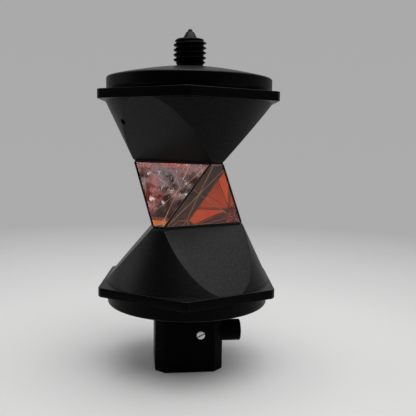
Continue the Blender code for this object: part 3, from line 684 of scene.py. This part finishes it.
def top_cap(material):
    foot = FLANGE_OUTER + GAP
    bore = SHANK_RADIUS + GAP
    foot_edge = TOP_FOOT_EDGE
    spot_face = TOP_CAP_TOP - SPOT_FACE_DEPTH
    profile = [(bore, spot_face), (SPOT_FACE_RADIUS, spot_face), (SPOT_FACE_RADIUS, TOP_CAP_TOP)]
    profile += top_cap_crown()
    profile += [(TOP_CAP_RADIUS, foot + CAP_FOOT_HEIGHT), (TOP_CAP_RADIUS - CAP_FOOT_INSET, foot + foot_edge),
                (TOP_CAP_RADIUS - CAP_FOOT_INSET - foot_edge, foot)]
    profile += underside(TOP_CAP_TOP, TOP_CAP_PLATE, bore)
    cap = place_on_head(turned("top_cap_shell", profile, material, sharp_degrees=14.0))
    fit(cap, "head", "black_anodised", "top_cap")


def bottom_cap(material):
    """Made upright and turned over, like the lower housing."""
    top = RING_CENTRE - BLOCK_TOP - GAP
    foot = FLANGE_OUTER + GAP
    bore = SPIGOT_RADIUS + GAP
    centre = BOTTOM_CAP_RADIUS - BOTTOM_CAP_TAPER - BOTTOM_CAP_EDGE
    foot_edge = BOTTOM_FOOT_EDGE
    profile = [(bore, top)] + arc(centre, top - BOTTOM_CAP_EDGE, BOTTOM_CAP_EDGE, BOTTOM_CAP_EDGE, 90, 1, 9)
    profile += [(BOTTOM_CAP_RADIUS, foot + foot_edge), (BOTTOM_CAP_RADIUS - foot_edge, foot)]
    profile += underside(top, BOTTOM_CAP_PLATE, bore)
    cap = place_on_head(turned("bottom_cap_shell", profile, material), upside_down=True)
    fit(cap, "head", "black_anodised", "bottom_cap")


# ---------------------------------------------------------------- glass ring

def prism_side(index):
    """Azimuth of a prism, and +1 where its face tilts up or -1 where it tilts down."""
    return math.radians(-30 + 60 * index), (1 if index % 2 == 0 else -1)


def cube_apex(axis, corner):
    """Where a corner cube's three inner sides meet, worked out from its distances to them."""
    half_side = corner.cross(axis) * math.sqrt(3) / 2
    spokes = (corner, -half_side - corner / 2, half_side - corner / 2)
    edges = [(axis + spoke * math.sqrt(2)).normalized() for spoke in spokes]
    land = FACE_DISTANCE / math.cos(FACE_TILT) - GLASS_HALF * math.tan(FACE_TILT) - GLASS_LAND
    seat_side = (land * math.sqrt(2) - GLASS_HALF) / math.sqrt(3)
    return edges[0] * seat_side + (edges[1] + edges[2]) * SEAM / 2


def prism_blank(index):
    """Corner cube with its corners cut off level with the ring's top and bottom."""
    azimuth, lean = prism_side(index)
    axis = direction(azimuth) * math.cos(FACE_TILT) + Vector((0, 0, lean * math.sin(FACE_TILT)))
    upright = (Vector((0, 0, 1)) - axis * axis.z).normalized()
    corner = upright * -lean
    apex = cube_apex(axis, corner)
    depth = FACE_DISTANCE - apex.dot(axis)
    turn = Matrix((corner.cross(axis), corner, axis)).transposed()
    bm = bmesh.new()
    bmesh.ops.create_cone(
        bm, cap_ends=True, segments=3, radius1=0.0, radius2=depth * math.sqrt(2), depth=depth,
        matrix=Matrix.Translation(apex) @ turn.to_4x4() @ Matrix.Translation((0, 0, depth / 2)))
    for side in (-1, 1):
        geometry = bm.verts[:] + bm.edges[:] + bm.faces[:]
        cut = bmesh.ops.bisect_plane(
            bm, geom=geometry, plane_co=(0, 0, side * GLASS_HALF), plane_no=(0, 0, side), clear_outer=True)
        rim = [e for e in cut["geom_cut"] if isinstance(e, bmesh.types.BMEdge)]
        bmesh.ops.edgeloop_fill(bm, edges=rim)
    bmesh.ops.recalc_face_normals(bm, faces=bm.faces)
    return bm, axis


def corner_prism(index, materials):
    """Glass front, copper-coated sides, ground edges and ends."""
    bm, axis = prism_blank(index)
    for face in bm.faces:
        cut = abs(face.normal.z) > 0.99
        face.material_index = 0 if face.normal.dot(axis) > 0.99 else (3 if cut else 1)
    name = f"corner_prism_{index + 1}"
    mesh = bpy.data.meshes.new(name)
    bm.to_mesh(mesh)
    bm.free()
    prism = add_object(name, mesh)
    for material in materials:
        mesh.materials.append(material)
    arris = prism.modifiers.new("Arris", "BEVEL")
    arris.width = ARRIS
    arris.segments = 1
    arris.material = 2
    apply_flat(prism)
    place_on_head(prism)
    fit(prism, "head", "prism_glass", f"prism_{index + 1}")


def apply_flat(piece):
    apply_all(piece)
    piece.data.shade_flat()


def ring_sides(top, inset):
    """Hexagon of the glass ring where it meets a housing, as (azimuth, distance)."""
    lean_back = GLASS_HALF * math.tan(FACE_TILT)
    middle = FACE_DISTANCE / math.cos(FACE_TILT)
    sides = []
    for k in range(6):
        near = (k % 2 == 0) == top
        sides.append((math.radians(-30 + 60 * k), middle + (-lean_back if near else lean_back) - inset))
    return sides


def bedding_ring(top, material):
    """Black joint between the glass and a housing, nearly level with the glass."""
    side = 1 if top else -1
    low, high = sorted((side * (GLASS_HALF + SKIN), side * (RIM - SKIN)))
    name = ("upper" if top else "lower") + "_bedding"
    ring = rounded_plate(name, ring_sides(top, BEDDING_INSET), BEDDING_CORNER_FILLET, low, high,
                         BEDDING_EDGE, material)
    place_on_head(ring)
    fit(ring, "head", "bedding_black", ("upper" if top else "lower") + "_gasket")


def seam_bead(index, material):
    """Black joint between one prism and the next, standing a little proud of the corner."""
    first, _ = prism_side(index)
    corner_azimuth = first + math.radians(30)
    top_sides, bottom_sides = ring_sides(True, 0.0), ring_sides(False, 0.0)
    top_point = corner_point(top_sides, index)
    bottom_point = corner_point(bottom_sides, index)
    half = SEAM / 2 + SKIN
    inward = -direction(corner_azimuth)
    along = (top_point - bottom_point).normalized()
    across = along.cross(inward).normalized()
    rings = []
    for end, point in ((-1, bottom_point), (1, top_point)):
        z = end * (GLASS_HALF - SKIN)
        ring = []
        for k in range(9):
            angle = math.pi * (k / 8 - 0.5)
            sunk = BEAD_BULGE * (1 - math.cos(angle)) - BEAD_PROUD
            ring.append(point + inward * sunk + across * (half * math.sin(angle)))
        ring += [point + inward * BEAD_DEPTH + across * half, point + inward * BEAD_DEPTH - across * half]
        rings.append([Vector((p.x, p.y, z)) for p in ring])
    bead = loft(f"seam_{index + 1}", rings, material)
    place_on_head(bead)
    fit(bead, "head", "bedding_black")


def corner_point(sides, index):
    """Corner between two sides of the glass ring's hexagon, at that end of the ring."""
    (a1, d1), (a2, d2) = sides[index], sides[(index + 1) % 6]
    n1, n2 = direction(a1), direction(a2)
    across = n1.x * n2.y - n1.y * n2.x
    point = Vector(((d1 * n2.y - d2 * n1.y) / across, (d2 * n1.x - d1 * n2.x) / across, 0.0))
    top = sides == ring_sides(True, 0.0)
    point.z = GLASS_HALF if top else -GLASS_HALF
    return point


def build_glass_ring(materials, bedding):
    for index in range(6):
        corner_prism(index, materials)
        seam_bead(index, bedding)
    bedding_ring(True, bedding)
    bedding_ring(False, bedding)


# ---------------------------------------------------------------- stud

def thread_radius(phase):
    """Radius of a 60 degree thread with flat crests and roots, at a phase along one pitch."""
    rise = THREAD_PITCH * abs(phase - 0.5) / math.tan(math.radians(30))
    return THREAD_RADIUS - min(max(rise - THREAD_PITCH / 16, 0.0), THREAD_DEPTH)


def threaded_rod(material):
    low, high = THREAD_FOOT, STUD_TOP
    columns, rows_per_turn = 96, 24
    rows = round((high - low) / THREAD_PITCH * rows_per_turn)
    rings = []
    for row in range(rows + 1):
        z = low + (high - low) * row / rows
        limit = THREAD_RADIUS - max(THREAD_FOOT_CHAMFER - (z - low), THREAD_TOP_CHAMFER - (high - z), 0.0)
        ring = []
        for column in range(columns):
            turn = column / columns
            radius = min(thread_radius(((z - low) / THREAD_PITCH - turn) % 1.0), limit)
            angle = 2 * math.pi * turn
            ring.append((radius * math.cos(angle), radius * math.sin(angle), z))
        rings.append(ring)
    return loft("antenna_thread", rings, material, 40.0)


def stud(black, tip_metal, dark_tip):
    rod = threaded_rod(black)
    neck_foot = TOP_CAP_TOP - SPOT_FACE_DEPTH + GAP
    neck_top = THREAD_FOOT + OVERLAP
    shank = turned("stud_shank", [
        (0.0, neck_top), (NECK_RADIUS, neck_top), (NECK_RADIUS, neck_foot + NECK_EDGE),
        (NECK_RADIUS - NECK_EDGE, neck_foot), (SHANK_RADIUS, neck_foot), (SHANK_RADIUS, SHANK_FOOT),
        (0.0, SHANK_FOOT)], steps=96)
    combine(rod, shank, "UNION")
    apply_all(rod, (shank,), 40.0)
    place_on_head(rod)
    fit(rod, "head", "black_anodised", "antenna_stud")
    tip(tip_metal, dark_tip)


def tip(tip_metal, dark_tip):
    """Centring cone on a pin in the stud's end, and the rounded point on a pin in the cone."""
    cone_foot = STUD_TOP + GAP
    cone_top = cone_foot + TIP_CONE_HEIGHT
    hole_floor = cone_top - POINT_HOLE_DEPTH
    rim, base = TIP_NOSE_EDGE, TIP_BASE_EDGE
    cone = turned("centring_cone", [
        (0.0, hole_floor), (POINT_HOLE_RADIUS, hole_floor), (POINT_HOLE_RADIUS, cone_top),
        (TIP_NOSE_RADIUS - rim, cone_top), (TIP_NOSE_RADIUS + rim, cone_top - 2 * rim),
        (TIP_BASE_RADIUS, cone_foot + base), (TIP_BASE_RADIUS, cone_foot - base),
        (TIP_PIN_RADIUS, cone_foot - base), (TIP_PIN_RADIUS, cone_foot - TIP_PIN_LENGTH),
        (0.0, cone_foot - TIP_PIN_LENGTH)], tip_metal, steps=96)
    place_on_head(cone)
    fit(cone, "head", "turned_steel", "stud_tip")
    dome, dome_foot, pin_foot = POINT_RADIUS, cone_top + rim, cone_top - POINT_PIN_LENGTH
    profile = [(0.0, TIP_TOP)] + arc(0.0, TIP_TOP - dome, dome, dome, 84, 0, 14)
    profile += [(dome, dome_foot), (POINT_PIN_RADIUS, dome_foot), (POINT_PIN_RADIUS, pin_foot),
                (0.0, pin_foot)]
    point = place_on_head(turned("point_dome", profile, dark_tip, steps=64))
    fit(point, "head", "black_point", "tip_point")


# ---------------------------------------------------------------- socket block and latch

def block_sides():
    """Square with its four corners cut at 45 degrees."""
    cut = (2 * BLOCK_HALF - BLOCK_CHAMFER) / math.sqrt(2)
    sides = []
    for k in range(4):
        sides += [(math.radians(90 * k), BLOCK_HALF), (math.radians(90 * k + 45), cut)]
    return sides


def socket_block(material):
    body = rounded_plate("socket_shell", block_sides(), BLOCK_FILLET, 0.0, BLOCK_TOP, BLOCK_EDGE, material,
                         steps=8, edge_steps=4)
    spigot = turned("spigot", [(0.0, SPIGOT_TOP), (SPIGOT_RADIUS, SPIGOT_TOP),
                               (SPIGOT_RADIUS, BLOCK_TOP - OVERLAP), (0.0, BLOCK_TOP - OVERLAP)], steps=96)
    bore = turned("stub_bore", [(0.0, STUB_DEPTH), (STUB_RADIUS, STUB_DEPTH), (STUB_RADIUS, STUB_MOUTH),
                                (STUB_RADIUS + STUB_MOUTH + OVERLAP, -OVERLAP), (0.0, -OVERLAP)], steps=96)
    button_hole = BUTTON_RADIUS + GAP
    button_bore = lay_along_x(turned("button_bore", [
        (0.0, BLOCK_HALF + OVERLAP), (button_hole + 0.8 * MM, BLOCK_HALF + 0.5 * MM),
        (button_hole, BLOCK_HALF - GAP), (button_hole, BUTTON_SEAT), (BOLT_BORE_RADIUS, BUTTON_SEAT),
        (BOLT_BORE_RADIUS, BOLT_BORE_END), (0.0, BOLT_BORE_END)], steps=96))
    screw_hole = SCREW_RADIUS + GAP
    screw_bore = turned("screw_bore", [
        (0.0, BLOCK_HALF + OVERLAP), (screw_hole, BLOCK_HALF + OVERLAP), (screw_hole, -LATCH_Y),
        (0.0, -LATCH_Y)], steps=64)
    screw_bore.location = (SCREW_X, 0.0, LATCH_Z)
    screw_bore.rotation_euler = (math.pi / 2, 0.0, 0.0)
    combine(body, spigot, "UNION")
    for tool in (bore, button_bore, screw_bore):
        combine(body, tool, "DIFFERENCE")
    apply_all(body, (spigot, bore, button_bore, screw_bore), 25.0)
    fit(body, "head", "black_anodised", "socket_block")


def lay_along_x(piece):
    piece.location = (0.0, LATCH_Y, LATCH_Z)
    piece.rotation_euler = (0.0, math.pi / 2, 0.0)
    return piece


def lock_button(material):
    end = button_high.x
    shoulder_x = button_low.x
    edge = BUTTON_EDGE
    flat = BUTTON_RADIUS - edge
    profile = [(0.0, end)]
    profile += [(flat * k / 10, end - BUTTON_CROWN * (k / 10) ** 2) for k in range(1, 10)]
    profile += arc(flat, end - BUTTON_CROWN - edge, edge, edge, 80, 0, 6)
    profile += [(BUTTON_RADIUS, shoulder_x), (BUTTON_PIN_HOLE_RADIUS, shoulder_x),
                (BUTTON_PIN_HOLE_RADIUS, BUTTON_PIN_HOLE_END), (0.0, BUTTON_PIN_HOLE_END)]
    button = lay_along_x(turned("button_cap", profile, material, steps=96))
    fit(button, "latch", "button_black", "lock_button")


def bolt_spring(material):
    """Coil of round wire between the bolt and its bore's end, which shortens as the button is pressed; made
    here at one length, it keeps its shape.
    """
    near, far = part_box("lock_spring")
    radius = (far.z - near.z) / 2 - SPRING_WIRE
    start, length = near.x + SPRING_WIRE, far.x - near.x - 2 * SPRING_WIRE
    steps, wire_steps = 168, 12
    rings = []
    for k in range(steps + 1):
        angle = 2 * math.pi * SPRING_TURNS * k / steps
        outward = Vector((0.0, math.sin(angle), math.cos(angle)))
        centre = Vector((start + length * k / steps, LATCH_Y, LATCH_Z)) + outward * radius
        ring = []
        for j in range(wire_steps):
            swing = 2 * math.pi * j / wire_steps
            off_centre = outward * math.cos(swing) + Vector((math.sin(swing), 0.0, 0.0))
            ring.append(centre + off_centre * SPRING_WIRE)
        rings.append(ring)
    spring = loft("coil_spring", rings, material, 60.0)
    fit(spring, "head", "turned_steel", "lock_spring")
    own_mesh(spring)


def retaining_screw(material):
    """Slotted screw in the block's face, made upright and laid along -Y."""
    face = BLOCK_HALF - SCREW_SINK
    edge = SCREW_EDGE
    thread_end = face - SCREW_LENGTH
    profile = [(0.0, face)] + arc(SCREW_RADIUS - edge, face - edge, edge, edge, 90, 0, 4)
    profile += [(SCREW_RADIUS, thread_end), (DOG_RADIUS, thread_end), (DOG_RADIUS, DOG_END), (0.0, DOG_END)]
    screw = turned("slotted_screw", profile, material, steps=64)
    bm = bmesh.new()
    size = Matrix.Diagonal((3 * SCREW_RADIUS, SCREW_SLOT_WIDTH, 2 * SCREW_SLOT_DEPTH, 1.0))
    bmesh.ops.create_cube(bm, size=1.0, matrix=Matrix.Translation((0, 0, face)) @
                          Matrix.Rotation(SCREW_SLOT_TURN, 4, "Z") @ size)
    slot = add_object("screw_slot", finish_mesh(bm, "screw_slot"))
    combine(screw, slot, "DIFFERENCE")
    apply_all(screw, (slot,), 25.0)
    soften(screw, 0.05 * MM, 2, 40.0)
    screw.location = (SCREW_X, 0.0, LATCH_Z)
    screw.rotation_euler = (math.pi / 2, 0.0, 0.0)
    fit(screw, "head", "turned_steel", "retaining_screw")


# ---------------------------------------------------------------- stage, light and camera

def stage_floor():
    """Pale round floor that fades into the background, seen only from above."""
    bm = bmesh.new()
    bmesh.ops.create_circle(bm, cap_ends=True, segments=128, radius=1.2)
    floor = add_object("floor", finish_mesh(bm, "floor"))
    floor.location.z = -SKIN
    material, tree, shader = new_material("pale_floor")
    place = add_node(tree, "ShaderNodeTexCoord")
    cloud = noise(tree, 9.0, 4.0, vector=place.outputs["Object"])
    tree.links.new(blend_colours(tree, cloud.outputs["Fac"], (0.70, 0.71, 0.70), (0.75, 0.755, 0.745)),
                   shader.inputs["Base Color"])
    shader.inputs["Roughness"].default_value = 0.6
    reach = add_node(tree, "ShaderNodeVectorMath", {0: place.outputs["Object"]}, operation="LENGTH")
    # Painted fill light: even by the object the floor is 12 % see-through, so the even backdrop grey lifts
    # its shadows; fully see-through from 0.5 m out.
    fade = spread(tree, reach.outputs["Value"], 0.12, 1.0, 0.08, 0.5)
    geometry = add_node(tree, "ShaderNodeNewGeometry")
    gone = add_node(tree, "ShaderNodeMath", {0: fade, 1: geometry.outputs["Backfacing"]}, operation="MAXIMUM")
    through = add_node(tree, "ShaderNodeBsdfTransparent")
    mix = add_node(tree, "ShaderNodeMixShader")
    tree.links.new(gone.outputs["Value"], mix.inputs[0])
    tree.links.new(shader.outputs["BSDF"], mix.inputs[1])
    tree.links.new(through.outputs["BSDF"], mix.inputs[2])
    tree.links.new(mix.outputs["Shader"], tree.nodes["Material Output"].inputs["Surface"])
    floor.data.materials.append(material)


def lobe(tree, heading, towards, start, full):
    """1 where a world direction points within a cone round a heading, fading out at its edge."""
    unit = Vector(towards).normalized()
    dot = add_node(tree, "ShaderNodeVectorMath", {0: heading, 1: tuple(unit)}, operation="DOT_PRODUCT")
    ramp = add_node(tree, "ShaderNodeMapRange", {
        "Value": dot.outputs["Value"], "From Min": math.cos(math.radians(start)),
        "From Max": math.cos(math.radians(full))}, interpolation_type="SMOOTHSTEP")
    return ramp.outputs["Result"]


def world():
    """A pale backdrop for the eye, and a room for reflections: bright above, dark behind the camera."""
    scene_world = bpy.data.worlds.new("studio")
    bpy.context.scene.world = scene_world
    scene_world.use_nodes = True
    tree = scene_world.node_tree
    tree.nodes.clear()
    heading = add_node(tree, "ShaderNodeTexCoord").outputs["Generated"]
    room = (0.42, 0.425, 0.42)
    dark_front = lobe(tree, heading, (-0.3, -1.0, 0.5), 72, 46)
    colour = blend_colours(tree, dark_front, room, (0.018, 0.017, 0.018))
    ceiling = lobe(tree, heading, (0.35, -0.15, 1.0), 50, 15)
    lit = add_node(tree, "ShaderNodeMix", data_type="RGBA")
    tree.links.new(ceiling, lit.inputs["Factor"])
    tree.links.new(colour, lit.inputs["A"])
    lit.inputs["B"].default_value = (1.0, 1.0, 1.0, 1.0)
    split = add_node(tree, "ShaderNodeSeparateXYZ", {"Vector": heading})
    backdrop = add_node(tree, "ShaderNodeMapRange", {
        "Value": split.outputs["Z"], "From Min": -0.1, "From Max": 0.25, "To Min": 0.41, "To Max": 0.40})
    level = backdrop.outputs["Result"]
    grey = add_node(tree, "ShaderNodeCombineColor", {"Red": level, "Green": level, "Blue": level})
    path = add_node(tree, "ShaderNodeLightPath")
    seen = add_node(tree, "ShaderNodeMix", data_type="RGBA")
    tree.links.new(path.outputs["Is Camera Ray"], seen.inputs["Factor"])
    tree.links.new(lit.outputs["Result"], seen.inputs["A"])
    tree.links.new(grey.outputs["Color"], seen.inputs["B"])
    background = add_node(tree, "ShaderNodeBackground", {"Color": seen.outputs["Result"]})
    output = add_node(tree, "ShaderNodeOutputWorld")
    tree.links.new(background.outputs["Background"], output.inputs["Surface"])


def bright_clutter():
    """Busy, brightly lit things up on the left, which only the polished prism faces mirror."""
    reach, azimuth, rise = 1.6, math.radians(-74), math.radians(28)
    place = direction(azimuth) * reach * math.cos(rise) + Vector((0, 0, reach * math.sin(rise) + RING_CENTRE))
    light = area_light("bright_clutter", place, (0.0, 0.0, RING_CENTRE), 1.0, 3.0)
    light.visible_diffuse = False
    light.visible_transmission = False
    light.visible_volume_scatter = False
    light.visible_camera = False
    light.data.use_nodes = True
    tree = light.data.node_tree
    emission = tree.nodes["Emission"]
    spot = add_node(tree, "ShaderNodeNewGeometry").outputs["Position"]
    tree.links.new(clutter_colours(tree, spot), emission.inputs["Color"])
    tree.links.new(clutter_extent(tree, spot), emission.inputs["Strength"])
    glass = bpy.data.collections.new("mirrors_the_clutter")
    for k in range(6):
        glass.objects.link(bpy.data.objects[f"corner_prism_{k + 1}"])
    light.light_linking.receiver_collection = glass


def clutter_colours(tree, spot):
    """Dim ground with large pale and pinkish blotches and small bright specks."""
    blotches = noise(tree, 26.0, 5.0, 0.65, spot)
    hues = noise(tree, 13.0, 3.0, 0.6, spot)
    specks = noise(tree, 48.0, 2.0, 0.6, spot)
    things = blend_colours(tree, spread(tree, hues.outputs["Fac"], 0.0, 1.0, 0.42, 0.58),
                           (3.0, 2.9, 2.85), (3.8, 2.3, 2.3))
    share = spread(tree, blotches.outputs["Fac"], 0.0, 1.0, 0.4, 0.6)
    tone = add_node(tree, "ShaderNodeMix", {"Factor": share}, data_type="RGBA")
    tone.inputs["A"].default_value = (0.3, 0.26, 0.25, 1.0)
    tree.links.new(things, tone.inputs["B"])
    speck = spread(tree, specks.outputs["Fac"], 0.0, 1.0, 0.6, 0.78)
    busy = add_node(tree, "ShaderNodeMix", {"Factor": speck}, data_type="RGBA")
    tree.links.new(tone.outputs["Result"], busy.inputs["A"])
    busy.inputs["B"].default_value = (11.0, 10.8, 10.6, 1.0)
    return busy.outputs["Result"]


def clutter_extent(tree, spot):
    """Full strength on the near side of a slanting edge and a quarter of it beyond."""
    edge = add_node(tree, "ShaderNodeVectorMath", {0: spot, 1: CLUTTER_SLANT}, operation="DOT_PRODUCT")
    shown = add_node(tree, "ShaderNodeMapRange", {
        "Value": edge.outputs["Value"], "From Min": CLUTTER_EDGE - 0.01, "From Max": CLUTTER_EDGE + 0.01,
        "To Min": 0.25}, interpolation_type="SMOOTHSTEP")
    return shown.outputs["Result"]


def area_light(name, place, target, size, power):
    lamp = bpy.data.lights.new(name, "AREA")
    lamp.shape = "DISK"
    lamp.size = size
    lamp.energy = power
    light = bpy.data.objects.new(name, lamp)
    light.location = place
    light.rotation_euler = (Vector(target) - Vector(place)).to_track_quat("-Z", "Y").to_euler()
    bpy.context.scene.collection.objects.link(light)
    return light


def camera():
    """Eye level with the upper housing, a little to the left, looking slightly down and right."""
    reach, azimuth, height = 284.1 * MM, math.radians(-5.24), 110.86 * MM
    heading, pitch, roll = math.radians(7.22), math.radians(-6.54), math.radians(0.88)
    data = bpy.data.cameras.new("camera")
    data.lens = 49.88
    data.sensor_width = 36.0
    data.clip_start = 0.01
    eye = bpy.data.objects.new("camera", data)
    turn = (Matrix.Rotation(-heading, 4, "Z") @ Matrix.Rotation(math.pi / 2 + pitch, 4, "X")
            @ Matrix.Rotation(roll, 4, "Z"))
    spot = direction(azimuth) * reach + Vector((0, 0, height))
    eye.matrix_world = Matrix.Translation(spot) @ turn
    bpy.context.scene.collection.objects.link(eye)
    bpy.context.scene.camera = eye


def set_scene():
    scene = bpy.context.scene
    scene.view_settings.view_transform = "Standard"
    scene.cycles.max_bounces = 24
    scene.cycles.glossy_bounces = 16
    scene.cycles.transmission_bounces = 16
    stage_floor()
    world()
    area_light("ceiling", (0.05, -0.14, 1.1), (0.0, 0.0, 0.04), 1.25, 9.5)
    area_light("left_window", (-1.1, 0.3, 0.6), (0.0, 0.0, 0.08), 0.8, 1.2)
    for lamp in ("ceiling", "left_window"):
        bpy.data.objects[lamp].visible_transmission = False
    bright_clutter()
    camera()


# ---------------------------------------------------------------- assembly

def finish_hidden_nodes(steel, rubber, bedding):
    """Pieces inside the head keep their CAD shape and get a finished material."""
    choices = {
        "stud_washer": steel, "stud_nut": steel, "socket_ring_nut": steel, "lock_bolt": steel,
        "top_seal": rubber, "bottom_seal": rubber,
        "upper_seat": bedding, "lower_seat": bedding}
    for name, material in choices.items():
        node = frame["nodes"][name]
        node.data.materials.clear()
        node.data.materials.append(material)


def main():
    black = black_anodised("black_anodised")
    cap_black = black_anodised("black_anodised_cap", 0.7, 0.22, 0.05, 0.36, True)
    deep_black = black_anodised("black_anodised_deep", 0.5, 0.1, 0.03, 0.4, True)
    block_black = black_anodised("black_anodised_block", 0.7, 0.1, 0.03, 0.4)
    steel = turned_steel()
    bedding = plain_black("bedding_black", 0.006, 0.7, 900.0)
    rubber = plain_black("seal_rubber", 0.012, 0.75, 700.0)
    dark_tip = plain_black("black_point", 0.005, 0.35, 1200.0)
    build_housings(black)
    top_cap(cap_black)
    bottom_cap(cap_black)
    build_glass_ring((optical_glass(), copper_mirror(), copper_edge(), ground_end_painted_reflection()), bedding)
    stud(deep_black, dark_steel(), dark_tip)
    socket_block(block_black)
    lock_button(deep_black)
    bolt_spring(steel)
    retaining_screw(steel)
    finish_hidden_nodes(steel, rubber, bedding)
    set_scene()


main()
